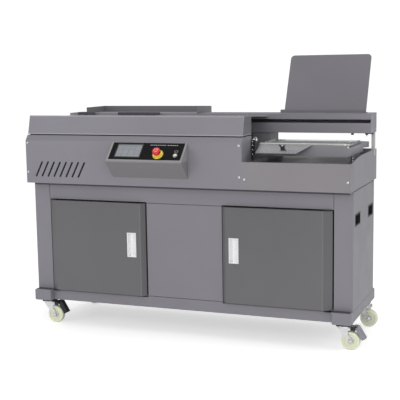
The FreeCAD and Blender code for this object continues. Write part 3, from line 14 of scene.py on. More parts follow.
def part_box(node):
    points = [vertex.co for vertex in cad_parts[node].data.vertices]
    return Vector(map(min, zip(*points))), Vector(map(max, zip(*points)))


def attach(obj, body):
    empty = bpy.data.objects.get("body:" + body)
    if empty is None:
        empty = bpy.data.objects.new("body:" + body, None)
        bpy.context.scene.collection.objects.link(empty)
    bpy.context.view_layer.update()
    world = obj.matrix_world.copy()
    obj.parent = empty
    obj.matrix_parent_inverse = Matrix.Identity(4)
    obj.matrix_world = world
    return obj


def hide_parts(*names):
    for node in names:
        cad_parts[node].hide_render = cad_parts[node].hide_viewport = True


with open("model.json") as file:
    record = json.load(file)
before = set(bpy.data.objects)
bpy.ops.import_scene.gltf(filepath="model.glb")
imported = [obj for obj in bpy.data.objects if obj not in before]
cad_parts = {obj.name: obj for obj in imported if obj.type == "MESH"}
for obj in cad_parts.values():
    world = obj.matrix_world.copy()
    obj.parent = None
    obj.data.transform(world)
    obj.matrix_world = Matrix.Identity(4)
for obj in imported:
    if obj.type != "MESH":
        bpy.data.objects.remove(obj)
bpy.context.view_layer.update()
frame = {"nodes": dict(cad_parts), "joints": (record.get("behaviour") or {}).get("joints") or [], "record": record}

MM = 0.001
X, Y, Z = Vector((1, 0, 0)), Vector((0, 1, 0)), Vector((0, 0, 1))
ZERO = Vector((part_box("side_panels")[0].x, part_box("side_panels")[0].y, 0.0))
JOINTS = {joint["name"]: joint for joint in frame["joints"]}


def spot(x, y, z):
    """Point given in millimetres from the cabinet's left end, front face and the floor."""
    return ZERO + Vector((x, y, z)) * MM


def middle(node):
    """Centre of a CAD node's box."""
    low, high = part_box(node)
    return (low + high) / 2


def mm(points):
    """Pairs of millimetres as metres."""
    return [(first * MM, second * MM) for first, second in points]


def paint_value(red, green, blue):
    """Linear colour from eight-bit display values."""
    def linear(part):
        part /= 255.0
        return part / 12.92 if part <= 0.04045 else ((part + 0.055) / 1.055) ** 2.4
    return linear(red), linear(green), linear(blue), 1.0


def tinted(colour, share, lift=0.0):
    """A darker or paler relative of a colour."""
    return tuple(min(1.0, part * share + lift) for part in colour[:3]) + (1.0,)


# ---- finishes -----------------------------------------------------------------------
class Finish:
    """A node material under construction, with the few node set-ups that every finish shares."""

    def __init__(self, name, **settings):
        self.material = bpy.data.materials.new(name)
        self.material.use_nodes = True
        self.tree = self.material.node_tree
        self.tree.nodes.clear()
        output = self.add("ShaderNodeOutputMaterial")
        self.shader = self.add("ShaderNodeBsdfPrincipled")
        self.tree.links.new(self.shader.outputs["BSDF"], output.inputs["Surface"])
        self.place = self.add("ShaderNodeTexCoord").outputs["Object"]
        for socket, value in settings.items():
            self.feed(socket.replace("_", " "), value)

    def add(self, kind):
        return self.tree.nodes.new(kind)

    def put(self, socket, value):
        """Link a socket, or set a plain value."""
        if isinstance(value, bpy.types.NodeSocket):
            self.tree.links.new(value, socket)
        else:
            socket.default_value = value

    def feed(self, name, value):
        self.put(self.shader.inputs[name], value)

    def math(self, kind, first, second=0.0):
        node = self.add("ShaderNodeMath")
        node.operation = kind
        self.put(node.inputs[0], first)
        self.put(node.inputs[1], second)
        return node.outputs[0]

    def remap(self, value, low, high, to_low, to_high):
        node = self.add("ShaderNodeMapRange")
        for index, part in enumerate((value, low, high, to_low, to_high)):
            self.put(node.inputs[index], part)
        return node.outputs[0]

    def mix(self, amount, first, second):
        node = self.add("ShaderNodeMix")
        node.data_type = "RGBA"
        self.put(node.inputs["Factor"], amount)
        self.put(node.inputs[6], first)
        self.put(node.inputs[7], second)
        return node.outputs[2]

    def shade(self, colour, amount):
        """Colour times a number."""
        node = self.add("ShaderNodeVectorMath")
        node.operation = "SCALE"
        self.put(node.inputs[0], colour if isinstance(colour, bpy.types.NodeSocket) else colour[:3])
        self.put(node.inputs["Scale"], amount)
        return node.outputs[0]

    def spread(self, stretch):
        """Coordinates squeezed along chosen axes, for grain with a direction."""
        node = self.add("ShaderNodeMapping")
        self.put(node.inputs["Vector"], self.place)
        node.inputs["Scale"].default_value = stretch
        return node.outputs[0]

    def noise(self, scale, detail=2.0, stretch=None):
        node = self.add("ShaderNodeTexNoise")
        self.put(node.inputs["Vector"], self.spread(stretch) if stretch else self.place)
        node.inputs["Scale"].default_value = scale
        node.inputs["Detail"].default_value = detail
        return node.outputs[0]

    def cells(self, scale):
        node = self.add("ShaderNodeTexVoronoi")
        self.put(node.inputs["Vector"], self.place)
        node.inputs["Scale"].default_value = scale
        return node

    def rounded(self, radius):
        """Normal with softened edges."""
        node = self.add("ShaderNodeBevel")
        node.samples = 4
        node.inputs["Radius"].default_value = radius
        return node.outputs[0]

    def edges(self, radius, reach=0.12):
        """1 on outer and inner edges, 0 on flats."""
        dot = self.add("ShaderNodeVectorMath")
        dot.operation = "DOT_PRODUCT"
        self.put(dot.inputs[0], self.rounded(radius))
        self.put(dot.inputs[1], self.add("ShaderNodeNewGeometry").outputs["Normal"])
        return self.remap(dot.outputs["Value"], 1.0, 1.0 - reach, 0.0, 1.0)

    def hollows(self, distance):
        """1 in crevices, 0 in the open."""
        node = self.add("ShaderNodeAmbientOcclusion")
        node.samples = 6
        node.inputs["Distance"].default_value = distance
        return self.remap(node.outputs["AO"], 0.75, 0.25, 0.0, 1.0)

    def bump(self, height, strength, depth, soften=None):
        node = self.add("ShaderNodeBump")
        node.inputs["Strength"].default_value = strength
        node.inputs["Distance"].default_value = depth
        self.put(node.inputs["Height"], height)
        if soften:
            self.put(node.inputs["Normal"], self.rounded(soften))
        self.feed("Normal", node.outputs[0])


def powder_coat(name, colour, roughness=0.42, edge_wear_and_highlight=0.35, grime_and_shade=0.30, height_shade=None, bend=0.0012, turned=None,
                glint_lines=None):
    """Satin textured paint: clouding, fine orange peel, edges paler from wear and painted highlight, painted
    highlight lines, painted light and shade by height and on faces turned sideways, dust and painted shade in the
    corners.
    """
    f = Finish(name)
    cloud = f.remap(f.noise(3.1, 3.0), 0.3, 0.7, 0.965, 1.035)
    speck = f.remap(f.noise(900.0, 1.0), 0.3, 0.7, 0.965, 1.035)
    tone = f.math("MULTIPLY", cloud, speck)
    where = f.add("ShaderNodeSeparateXYZ")
    f.put(where.inputs[0], f.place)
    # height_shade: painted light and shade, the tone rising or falling with height as light falls on the faces.
    if height_shade:
        tone = f.math("MULTIPLY", tone, f.remap(where.outputs["Z"], *height_shade))
    # Painted shade: faces turned towards +X are made darker, standing in for how the light falls on them.
    if turned:
        facing = f.add("ShaderNodeSeparateXYZ")
        f.put(facing.inputs[0], f.add("ShaderNodeTexCoord").outputs["Normal"])
        tone = f.math("MULTIPLY", tone, f.remap(facing.outputs["X"], *turned))
    coat = f.shade(colour, tone)
    # Paler edges: handling wear and a painted highlight where the edges catch the light.
    patchy = f.remap(f.noise(60.0, 3.0), 0.35, 0.65, edge_wear_and_highlight * 0.4, edge_wear_and_highlight)
    wear_and_glint = f.math("MULTIPLY", f.edges(bend * 1.3), patchy)
    # glint_lines: painted highlight lines, pale bands at given places along one axis where folds catch the light.
    if glint_lines:
        axis, levels, strength = glint_lines
        for level in levels:
            gap = f.math("ABSOLUTE", f.math("SUBTRACT", where.outputs[axis], level))
            wear_and_glint = f.math("MAXIMUM", wear_and_glint, f.remap(gap, 0.0012, 0.0036, strength, 0.0))
    coat = f.mix(wear_and_glint, coat, tinted(colour, 1.8, 0.05))
    # Darker in the hollows: dust and painted shade, from ambient occlusion.
    dust = f.math("MULTIPLY", f.hollows(0.03), f.remap(f.noise(25.0, 3.0), 0.3, 0.7, grime_and_shade * 0.5, grime_and_shade))
    coat = f.mix(dust, coat, tinted(colour, 0.45))
    f.feed("Base Color", coat)
    f.feed("Roughness", f.remap(f.noise(9.0, 4.0), 0.25, 0.75, roughness - 0.05, roughness + 0.07))
    f.feed("Specular IOR Level", 0.42)
    f.bump(f.noise(650.0, 2.0), 0.22, 0.0004, soften=bend)
    return f.material


def plated(name, colour, roughness=0.30, spangle=180.0, tint=0.10):
    """Zinc or nickel plate: faint crystal patches, soft scratches, painted shade in the crevices."""
    f = Finish(name, Metallic=1.0)
    patch = f.cells(spangle).outputs["Color"]
    lum = f.add("ShaderNodeRGBToBW")
    f.put(lum.inputs[0], patch)
    base = f.shade(colour, f.remap(lum.outputs[0], 0.2, 0.8, 1.0 - tint, 1.0 + tint))
    # Painted shade: darker in the crevices, from ambient occlusion.
    base = f.mix(f.math("MULTIPLY", f.hollows(0.012), 0.55), base, tinted(colour, 0.3))
    f.feed("Base Color", base)
    scratch = f.noise(400.0, 3.0, (1.0, 1.0, 0.12))
    f.feed("Roughness", f.remap(scratch, 0.3, 0.7, roughness - 0.07, roughness + 0.10))
    f.bump(scratch, 0.12, 0.0003, soften=0.0008)
    return f.material


def brushed(name, colour, along, roughness=0.30, strength=0.18):
    """Metal with a grain along one axis."""
    f = Finish(name, Metallic=1.0, Anisotropic=0.5)
    stretch = [1.0, 1.0, 1.0]
    stretch["XYZ".index(along)] = 0.02
    grain = f.noise(700.0, 3.0, stretch)
    stain = f.noise(12.0, 3.0)
    tone = f.math("MULTIPLY", f.remap(grain, 0.3, 0.7, 0.92, 1.08), f.remap(stain, 0.3, 0.7, 0.95, 1.05))
    base = f.shade(colour, tone)
    # Painted shade: darker in the hollows, from ambient occlusion.
    base = f.mix(f.math("MULTIPLY", f.hollows(0.015), 0.5), base, tinted(colour, 0.35))
    f.feed("Base Color", base)
    f.feed("Roughness", f.remap(grain, 0.25, 0.75, roughness - 0.08, roughness + 0.10))
    f.bump(grain, strength, 0.0002, soften=0.0008)
    return f.material


def moulded(name, colour, roughness=0.45, grain=1200.0, strength=0.25, lift=0.05, **more):
    """Plastic or rubber: fine grain, slightly greyed edges, dust and painted shade in the corners."""
    f = Finish(name, **more)
    tone = f.remap(f.noise(40.0, 3.0), 0.3, 0.7, 0.93, 1.07)
    base = f.shade(colour, tone)
    base = f.mix(f.math("MULTIPLY", f.edges(0.0008), 0.6), base, tinted(colour, 1.0, lift))
    # Darker in the corners: dust and painted shade, from ambient occlusion.
    base = f.mix(f.math("MULTIPLY", f.hollows(0.008), 0.4), base, tinted(colour, 0.6, 0.01))
    f.feed("Base Color", base)
    f.feed("Roughness", f.remap(f.noise(90.0, 2.0), 0.3, 0.7, roughness - 0.05, roughness + 0.08))
    f.bump(f.noise(grain, 2.0), strength, 0.0002, soften=0.0006)
    return f.material


def cast(name, colour):
    """Bead-blasted casting."""
    f = Finish(name, Metallic=0.9)
    pits = f.noise(500.0, 4.0)
    base = f.shade(colour, f.remap(f.noise(18.0, 4.0), 0.3, 0.7, 0.88, 1.1))
    # Painted shade: darker in the hollows, from ambient occlusion.
    f.feed("Base Color", f.mix(f.math("MULTIPLY", f.hollows(0.02), 0.6), base, tinted(colour, 0.3)))
    f.feed("Roughness", f.remap(pits, 0.3, 0.7, 0.42, 0.62))
    f.bump(pits, 0.45, 0.0006, soften=0.001)
    return f.material


def nylon_wheel(name, colour, centre):
    """Cream nylon with faint moulding rings about the axle and road dust on the tread."""
    f = Finish(name, Roughness=0.34, Subsurface_Weight=0.12, Subsurface_Scale=0.004)
    away = f.add("ShaderNodeVectorMath")
    away.operation = "DISTANCE"
    f.put(away.inputs[0], f.place)
    away.inputs[1].default_value = centre
    radius = away.outputs["Value"]
    ring = f.math("SINE", f.math("MULTIPLY", radius, 1900.0))
    tread = f.remap(radius, 0.0352, 0.0385, 0.0, 0.30)
    base = f.shade(colour, f.remap(f.noise(60.0, 3.0), 0.3, 0.7, 0.95, 1.04))
    base = f.mix(f.remap(ring, 0.3, 1.0, 0.0, 0.18), base, paint_value(206, 208, 182))
    base = f.mix(f.math("MULTIPLY", tread, f.remap(f.noise(180.0, 3.0), 0.35, 0.65, 0.3, 1.0)), base,
                 paint_value(120, 118, 108))
    # Painted shade: darker in the hollows, from ambient occlusion.
    base = f.mix(f.math("MULTIPLY", f.hollows(0.006), 0.5), base, paint_value(130, 130, 108))
    f.feed("Base Color", base)
    f.feed("Roughness", f.remap(f.noise(150.0, 2.0), 0.3, 0.7, 0.28, 0.45))
    f.bump(f.math("ADD", f.math("MULTIPLY", ring, 0.5), f.noise(900.0, 2.0)), 0.15, 0.0003, soften=0.0008)
    return f.material


def table_finish(name, coat, metal, top):
    """Painted apron that turns into bright ground sheet above a height."""
    f = Finish(name)
    height = f.add("ShaderNodeSeparateXYZ")
    f.put(height.inputs[0], f.place)
    bare = f.remap(height.outputs["Z"], top - 0.0085, top - 0.0045, 0.0, 1.0)
    grain = f.noise(500.0, 3.0, (0.03, 1.0, 1.0))
    stain = f.noise(7.0, 4.0)
    steel = f.shade(metal, f.math("MULTIPLY", f.remap(grain, 0.3, 0.7, 0.94, 1.06),
                                  f.remap(stain, 0.3, 0.7, 0.88, 1.08)))
    paint = f.shade(coat, f.remap(f.noise(4.0, 3.0), 0.3, 0.7, 0.96, 1.04))
    f.feed("Base Color", f.mix(bare, paint, steel))
    f.feed("Metallic", bare)
    streak = f.remap(grain, 0.3, 0.7, -0.03, 0.05)
    f.feed("Roughness", f.math("ADD", f.remap(bare, 0.0, 1.0, 0.42, 0.20), streak))
    f.bump(f.mix(bare, f.noise(650.0, 2.0), grain), 0.15, 0.0003, soften=0.001)
    return f.material


def display(name, low, high):
    """Display seen through its front: a header band, plain tiles and a painted glow standing in for light
    reflected off the screen.
    """
    f = Finish(name, Roughness=0.12, Coat_Weight=0.6, Coat_Roughness=0.04)
    shift = f.add("ShaderNodeMapping")
    shift.vector_type = "POINT"
    f.put(shift.inputs["Vector"], f.place)
    span = high - low
    shift.inputs["Scale"].default_value = (1.0 / span.x, 1.0, 1.0 / span.z)
    shift.inputs["Location"].default_value = (-low.x / span.x, 0.0, -low.z / span.z)
    parts = f.add("ShaderNodeSeparateXYZ")
    f.put(parts.inputs[0], shift.outputs[0])
    across, up = parts.outputs["X"], parts.outputs["Z"]
    tiles = f.add("ShaderNodeTexBrick")
    tiles.offset = 0.0
    turn = f.add("ShaderNodeCombineXYZ")
    f.put(turn.inputs[0], across)
    f.put(turn.inputs[1], up)
    f.put(tiles.inputs["Vector"], turn.outputs[0])
    tiles.inputs["Scale"].default_value = 1.0
    tiles.inputs["Brick Width"].default_value = 0.25
    tiles.inputs["Row Height"].default_value = 0.30
    tiles.inputs["Mortar Size"].default_value = 0.018
    tiles.inputs["Color1"].default_value = paint_value(138, 144, 150)
    tiles.inputs["Color2"].default_value = paint_value(130, 136, 143)
    tiles.inputs["Mortar"].default_value = paint_value(122, 128, 135)
    header = f.math("GREATER_THAN", up, 0.86)
    picture = f.mix(header, tiles.outputs["Color"], paint_value(118, 126, 136))
    edge = f.math("MAXIMUM", f.math("ABSOLUTE", f.math("SUBTRACT", across, 0.5)),
                  f.math("ABSOLUTE", f.math("SUBTRACT", up, 0.5)))
    picture = f.mix(f.math("GREATER_THAN", edge, 0.475), picture, paint_value(150, 155, 160))
    smear = f.noise(35.0, 4.0)
    f.feed("Base Color", f.shade(picture, f.remap(smear, 0.3, 0.7, 0.55, 0.62)))
    # Painted glow: the picture's emission stands in for light reflected off the screen.
    f.feed("Emission Color", picture)
    f.feed("Emission Strength", 0.22)
    f.feed("Roughness", f.remap(smear, 0.3, 0.7, 0.10, 0.24))
    f.bump(f.noise(300.0, 2.0), 0.03, 0.0001, soften=0.0006)
    return f.material


BODY = paint_value(136, 134, 141)
DOOR = paint_value(106, 105, 108)
REST = paint_value(118, 116, 122)
door_low, door_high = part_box("left_door")
table_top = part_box("cover_table")[1].z
screen_low, screen_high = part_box("touch_screen")

body_paint = powder_coat("body_paint", BODY)
front_bend = spot(0, 0, 825).z
door_glint_lines = [spot(x, 0, 0).x for x in (514, 1302)]
lid_glint_lines = [spot(0, 0, z).z for z in (853.5, 929.5)]
console_lip = spot(0, 0, 747).z
# Front panel: painted shade, the strip above front_bend made darker.
front_paint = powder_coat("front_paint", BODY, height_shade=(front_bend - 0.001, front_bend + 0.001, 1.0, 0.90))
# Doors: painted light and shade, lighter towards the bottom and darker towards the top; chamfers turned towards +X
# painted darker as painted shade; a painted highlight line along each fold.
door_paint = powder_coat("door_paint", DOOR, roughness=0.36, height_shade=(door_low.z, door_high.z, 1.06, 0.97),
                         turned=(0.05, 0.25, 1.0, 0.90), glint_lines=("X", door_glint_lines, 0.22))
rest_paint = powder_coat("rest_paint", REST, roughness=0.40)
black_plastic = moulded("black_plastic", paint_value(34, 34, 36), roughness=0.42)
rubber = moulded("black_rubber", paint_value(26, 26, 27), roughness=0.65, grain=2200.0)
zinc = plated("zinc_steel", (0.64, 0.65, 0.65, 1.0))
fork_zinc = plated("fork_zinc", (0.90, 0.91, 0.91, 1.0), roughness=0.24, tint=0.06)
bright = plated("zinc_bright", (0.86, 0.86, 0.88, 1.0), roughness=0.16, spangle=420.0, tint=0.03)
stainless = brushed("stainless", (0.25, 0.25, 0.26, 1.0), "X", roughness=0.42)
polished = brushed("polished_plate", (0.37, 0.37, 0.385, 1.0), "Y", roughness=0.26, strength=0.02)
ground = brushed("ground_steel", (0.56, 0.56, 0.57, 1.0), "X", roughness=0.26)
table_mat = table_finish("table_steel", paint_value(137, 136, 142), (0.50, 0.52, 0.49, 1.0), table_top)
# Lid: strong painted highlight on its edges, its end wall turned towards +X painted darker as painted shade, and
# painted highlight lines along its lower and top edges.
lid_paint = powder_coat("lid_paint", BODY, edge_wear_and_highlight=0.75, bend=0.0035, turned=(0.5, 0.8, 1.0, 0.74),
                        glint_lines=("Z", lid_glint_lines, 0.55))
# Console: painted shade, darker below its lip and slightly paler above it.
console_paint = powder_coat("console_paint", paint_value(146, 143, 145),
                            height_shade=(console_lip, console_lip + 0.008, 0.76, 1.06))
tray_paint = powder_coat("tray_paint", paint_value(139, 135, 138))
post_paint = powder_coat("post_paint", paint_value(196, 196, 198), roughness=0.35)
pull_plate = plated("pull_plate", (0.95, 0.95, 0.96, 1.0), roughness=0.28, spangle=420.0, tint=0.02)
void_black = moulded("void_black", paint_value(9, 9, 10), roughness=0.8, lift=0.01)
motor_black = powder_coat("motor_black", paint_value(44, 44, 47), roughness=0.35, edge_wear_and_highlight=0.2)
alloy = cast("cast_alloy", (0.52, 0.52, 0.53, 1.0))
panel_black = moulded("panel_black", paint_value(9, 9, 11), roughness=0.5, grain=1800.0, strength=0.10,
                      lift=0.02, Specular_IOR_Level=0.14)
screen_mat = display("screen_glass", screen_low, screen_high)
yellow = moulded("yellow_plastic", paint_value(255, 238, 92), roughness=0.35)
red = moulded("red_plastic", paint_value(218, 28, 36), roughness=0.28, Coat_Weight=0.3)
ink = moulded("pale_print", paint_value(214, 214, 216), roughness=0.5)
faint_ink = moulded("faint_print", paint_value(178, 178, 182), roughness=0.5)
shade_strip_grey = moulded("shade_strip_grey", paint_value(78, 77, 86), roughness=0.6)
dull_silver = plated("dull_silver", (0.62, 0.61, 0.54, 1.0), roughness=0.34, spangle=420.0, tint=0.03)
pedal_grey = powder_coat("pedal_grey", paint_value(150, 148, 158), roughness=0.35)
cable_sheath = moulded("cable_sheath", paint_value(60, 60, 64), roughness=0.5)

WHEEL_CREAM = paint_value(250, 252, 224)
NODE_FINISH = {
    "body_paint": body_paint, "door_paint": door_paint, "rest_paint": rest_paint,
    "black_plastic": black_plastic, "zinc_steel": zinc, "zinc_bright": bright,
    "stainless": stainless, "table_steel": table_mat, "polished_plate": polished,
    "ground_steel": ground, "motor_black": motor_black, "cast_alloy": alloy,
    "panel_black": panel_black, "screen_glass": screen_mat, "yellow_plastic": yellow,
    "red_plastic": red, "light_paint": post_paint,
}
OWN_FINISH = {
    "control_box": console_paint, "start_button": dull_silver, "body_front_panel": front_paint,
    "tray_front_panel": tray_paint, "brake_pedal_right": pedal_grey,
    "top_cover": lid_paint, "door_pivots": black_plastic,
    "left_door_pull": pull_plate, "right_door_pull": pull_plate,
}
for part in frame["record"]["subparts"]:
    node, slot_name = part["node"], part["material_slot"]
    if slot_name == "wheel_cream":
        finish = nylon_wheel("wheel_cream_" + node, WHEEL_CREAM, middle(node))
    else:
        finish = OWN_FINISH.get(node, NODE_FINISH[slot_name])
    if node.startswith("fork_"):
        finish = fork_zinc
    mesh = frame["nodes"][node].data
    mesh.materials.clear()
    mesh.materials.append(finish)


# ---- shapes -------------------------------------------------------------------------
def settle(name, bm, material, body, smooth=38.0):
    """Turn a bmesh into a piece that rides on a body."""
    bmesh.ops.recalc_face_normals(bm, faces=bm.faces)
    mesh = bpy.data.meshes.new(name)
    bm.to_mesh(mesh)
    bm.free()
    for face in mesh.polygons:
        face.use_smooth = True
    mesh.set_sharp_from_angle(angle=math.radians(smooth))
    mesh.materials.append(material)
    piece = bpy.data.objects.new(name, mesh)
    bpy.context.scene.collection.objects.link(piece)
    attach(piece, body)
    return piece


def axes_for(direction):
    """Two unit vectors square to a direction."""
    w = direction.normalized()
    u = w.cross(Z if abs(w.z) < 0.9 else X).normalized()
    return u, w.cross(u), w


def lathe(bm, profile, centre, direction, steps=24):
    """Revolve (radius, height) points about an axis; a radius of zero closes the end."""
    u, v, w = axes_for(direction)
    rings = []
    for radius, height in profile:
        base = centre + w * height
        if radius < 1e-9:
            rings.append([bm.verts.new(base)])
        else:
            ring = []
            for step in range(steps):
                angle = math.tau * step / steps
                reach = u * (radius * math.cos(angle)) + v * (radius * math.sin(angle))
                ring.append(bm.verts.new(base + reach))
            rings.append(ring)
    closed = len(rings[0]) > 1
    pairs = list(zip(rings, rings[1:])) + ([(rings[-1], rings[0])] if closed else [])
    for low, high in pairs:
        for step in range(steps):
            following = (step + 1) % steps
            if len(low) == 1:
                bm.faces.new((low[0], high[step], high[following]))
            elif len(high) == 1:
                bm.faces.new((low[step], high[0], low[following]))
            else:
                bm.faces.new((low[step], high[step], high[following], low[following]))


def block(bm, low, high, radius, turn=None):
    """Box with rounded edges, optionally turned by a matrix about its own centre."""
    size, centre = high - low, (high + low) / 2
    made = bmesh.ops.create_cube(bm, size=1.0)["verts"]
    place = Matrix.Translation(centre) @ (turn.to_4x4() if turn else Matrix.Identity(4))
    bmesh.ops.transform(bm, verts=made, matrix=place @ Matrix.Diagonal((size.x, size.y, size.z, 1.0)))
    edges = list({edge for vert in made for edge in vert.link_edges})
    soften(bm, edges, radius)


def soften(bm, edges, radius):
    """Round the edges over."""
    bmesh.ops.bevel(bm, geom=edges, offset=radius, segments=2, profile=0.6, affect="EDGES",
                    clamp_overlap=True)


def slab(bm, outline, origin, u, v, thickness, radius=0.0):
    """Flat outline in the u, v plane, thickened along their cross product."""
    w = u.cross(v)
    bottom = [bm.verts.new(origin + u * a + v * b) for a, b in outline]
    top = [bm.verts.new(vert.co + w * thickness) for vert in bottom]
    faces = [bm.faces.new(bottom[::-1]), bm.faces.new(top)]
    count = len(outline)
    for index in range(count):
        following = (index + 1) % count
        faces.append(bm.faces.new((bottom[index], bottom[following], top[following], top[index])))
    if radius:
        soften(bm, list({edge for face in faces for edge in face.edges}), radius)


def pipe(bm, points, radius, sides=10, smooth_steps=6):
    """Round cable through the points, with smooth bends and closed ends."""
    path = []
    padded = [points[0]] + list(points) + [points[-1]]
    for a, b, c, d in zip(padded, padded[1:], padded[2:], padded[3:]):
        for step in range(smooth_steps):
            t = step / smooth_steps
            path.append(0.5 * ((2 * b) + (c - a) * t + (2 * a - 5 * b + 4 * c - d) * t * t
                               + (3 * b - a - 3 * c + d) * t ** 3))
    path.append(points[-1])
    u, v, w = axes_for(path[1] - path[0])
    rings = []
    for index, point in enumerate(path):
        ahead = path[min(index + 1, len(path) - 1)] - path[max(index - 1, 0)]
        w = ahead.normalized()
        u = (u - w * u.dot(w)).normalized()
        v = w.cross(u)
        rings.append([bm.verts.new(point + u * (radius * math.cos(math.tau * s / sides))
                                   + v * (radius * math.sin(math.tau * s / sides))) for s in range(sides)])
    for low, high in zip(rings, rings[1:]):
        for s in range(sides):
            t = (s + 1) % sides
            bm.faces.new((low[s], low[t], high[t], high[s]))
    bm.faces.new(rings[0][::-1])
    bm.faces.new(rings[-1])


def cross_head(bm, centre, direction, radius, height, turn=0.0):
    """Pan head with a cross recess, drawn as a disc of small steps round its middle."""
    u, v, w = axes_for(direction)
    steps, slot_half, slot_reach, depth = 48, 0.13, 0.56, height * 0.55

    def surface(r, angle):
        dome = height * (1.0 - 0.38 * (r / radius) ** 4)
        a, b = abs(r / radius * math.cos(angle + turn)), abs(r / radius * math.sin(angle + turn))
        inside = (a < slot_half and b < slot_reach) or (b < slot_half and a < slot_reach)
        return dome - depth if inside else dome

    shares = (0.10, 0.17, 0.20, 0.34, 0.48, 0.55, 0.59, 0.74, 0.88, 0.96, 1.0)
    centre_vert = bm.verts.new(centre + w * (height - depth))
    rings = []
    for share in shares:
        ring = []
        for step in range(steps):
            angle = math.tau * step / steps
            r = radius * share
            ring.append(bm.verts.new(centre + u * (r * math.cos(angle)) + v * (r * math.sin(angle))
                                     + w * surface(r, angle)))
        rings.append(ring)
    foot = [bm.verts.new(vert.co - w * (vert.co - centre).dot(w)) for vert in rings[-1]]
    rings.append(foot)
    for step in range(steps):
        following = (step + 1) % steps
        bm.faces.new((centre_vert, rings[0][step], rings[0][following]))
        for low, high in zip(rings, rings[1:]):
            bm.faces.new((low[step], high[step], high[following], low[following]))
    bm.faces.new(foot[::-1])


def hex_bolt(bm, centre, direction, across, height, washer=True):
    """Hexagon head with a chamfered crown on a washer."""
    u, v, w = axes_for(direction)
    if washer:
        thick = height * 0.25
        lathe(bm, [(0.0, 0.0), (across * 0.78, 0.0), (across * 0.80, thick * 0.5), (across * 0.78, thick),
                   (0.0, thick)], centre, direction, 24)
        centre = centre + w * thick
    corner = across / math.sqrt(3)
    outline = [(corner * math.cos(math.tau * k / 6), corner * math.sin(math.tau * k / 6)) for k in range(6)]
    slab(bm, outline, centre, u, v, height, radius=height * 0.12)


def new_mesh():
    return bmesh.new()


# ---- panel screws -------------------------------------------------------------------
FRONT_SCREWS = ((3, 815), (3, 689), (970, 816), (971, 690), (992.6, 682), (1409, 682))
REAR_SCREWS = ((20, 820), (20, 670), (495, 820), (495, 670), (960, 820), (960, 670), (1400, 670), (1400, 745))
PANEL_HEAD = (4.5 * MM, 2.4 * MM)      # head radius and height
SMALL_HEAD = (3.6 * MM, 2.0 * MM)


def panel_screws():
    """Cross-recess heads at the places of the plain CAD heads, front and rear."""
    front_y, rear_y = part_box("body_front_panel")[0].y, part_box("body_back_panel")[1].y
    bm = new_mesh()
    for places, wall_y, out, twist in ((FRONT_SCREWS, front_y, -Y, 0.7), (REAR_SCREWS, rear_y, Y, 1.1)):
        for index, (x, z) in enumerate(places):
            place = spot(x, 0, z)
            place.y = wall_y
            cross_head(bm, place, out, *PANEL_HEAD, turn=index * twist)
    heads = settle("screw_heads", bm, bright, "frame")
    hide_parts("panel_screws")


def extra_screws():
    """Small screws on the housing's end plate, the book rest's foot, the clamp and the hinge strip."""
    bm = new_mesh()
    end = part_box("housing_supports")[1].x
    for y, z in ((345, 856), (437, 856), (345, 912), (437, 912)):
        place = spot(0, y, z)
        place.x = end
        cross_head(bm, place, X, *SMALL_HEAD, turn=y * 0.1)
    for x in (1050, 1200, 1350):
        cross_head(bm, spot(x, 415, 928), Z, *SMALL_HEAD, turn=x * 0.1)
    cross_head(bm, spot(1050, 60, 792), -Y, 3.4 * MM, 1.8 * MM, turn=0.3)
    for x, y in ((1040, 300), (1354, 236), (1379, 300)):
        cross_head(bm, spot(x, y, 815), Z, 4.2 * MM, 2.2 * MM, turn=x * 0.2)
    cross_head(bm, spot(1382.5, 65.5, 806), Vector((0.66, -0.75, 0)), 3.8 * MM, 2.0 * MM, turn=0.4)
    cross_head(bm, spot(1415, 403, 752), -Y, 4.2 * MM, 2.0 * MM, turn=0.6)
    settle("small_screws", bm, bright, "frame")


# ---- console ------------------------------------------------------------------------
FASCIA = 1.5                    # the black panel's thickness on the console's slope
SCREEN_AT = (91.5, 47)          # places along X, then down the slope
TITLE_AT = (182, 15.5)
TITLE_DASHES, TITLE_BREAK = 15, 8
TITLE_PITCH, TITLE_GAP = 8.1, 4.0
SYMBOL_AT = (303, 47)
START_AT = (303, 68)
ESTOP_AT = (227, 65)
ESTOP_HEAD_TOP = 30.5           # heights out of the slope
ESTOP_COLLAR_TOP = 7.4
ARROWS = 3
ARROW_INNER, ARROW_OUTER = 6.6 * MM, 8.4 * MM
ARROW_SWEEP, ARROW_POINT, ARROW_FLARE = 1.25, 0.34, 1.3 * MM


def slope_axes():
    """Unit vectors of the console's face from the emergency stop's own push direction."""
    inward = Vector(JOINTS["estop_press"]["axis"]).normalized()
    out = -inward
    down = X.cross(out)
    if down.z > 0:
        down = -down
    return down.normalized(), out


def console_point(along, down_by, out_by):
    """Point on the console: along X and down the slope from its upper left corner, and out of it."""
    down, out = slope_axes()
    corner = Vector((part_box("control_box")[0].x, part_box("control_box")[1].y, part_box("control_box")[1].z))
    return corner + X * (along * MM) + down * (down_by * MM) + out * (out_by * MM)


def ring_outline(width, height, corner, steps=5):
    """Rounded rectangle about the origin, anticlockwise."""
    points = []
    for cx, cy, start in ((1, 1, 0), (-1, 1, 90), (-1, -1, 180), (1, -1, 270)):
        for step in range(steps + 1):
            angle = math.radians(start + 90 * step / steps)
            points.append((cx * (width / 2 - corner) + corner * math.cos(angle),
                           cy * (height / 2 - corner) + corner * math.sin(angle)))
    return points


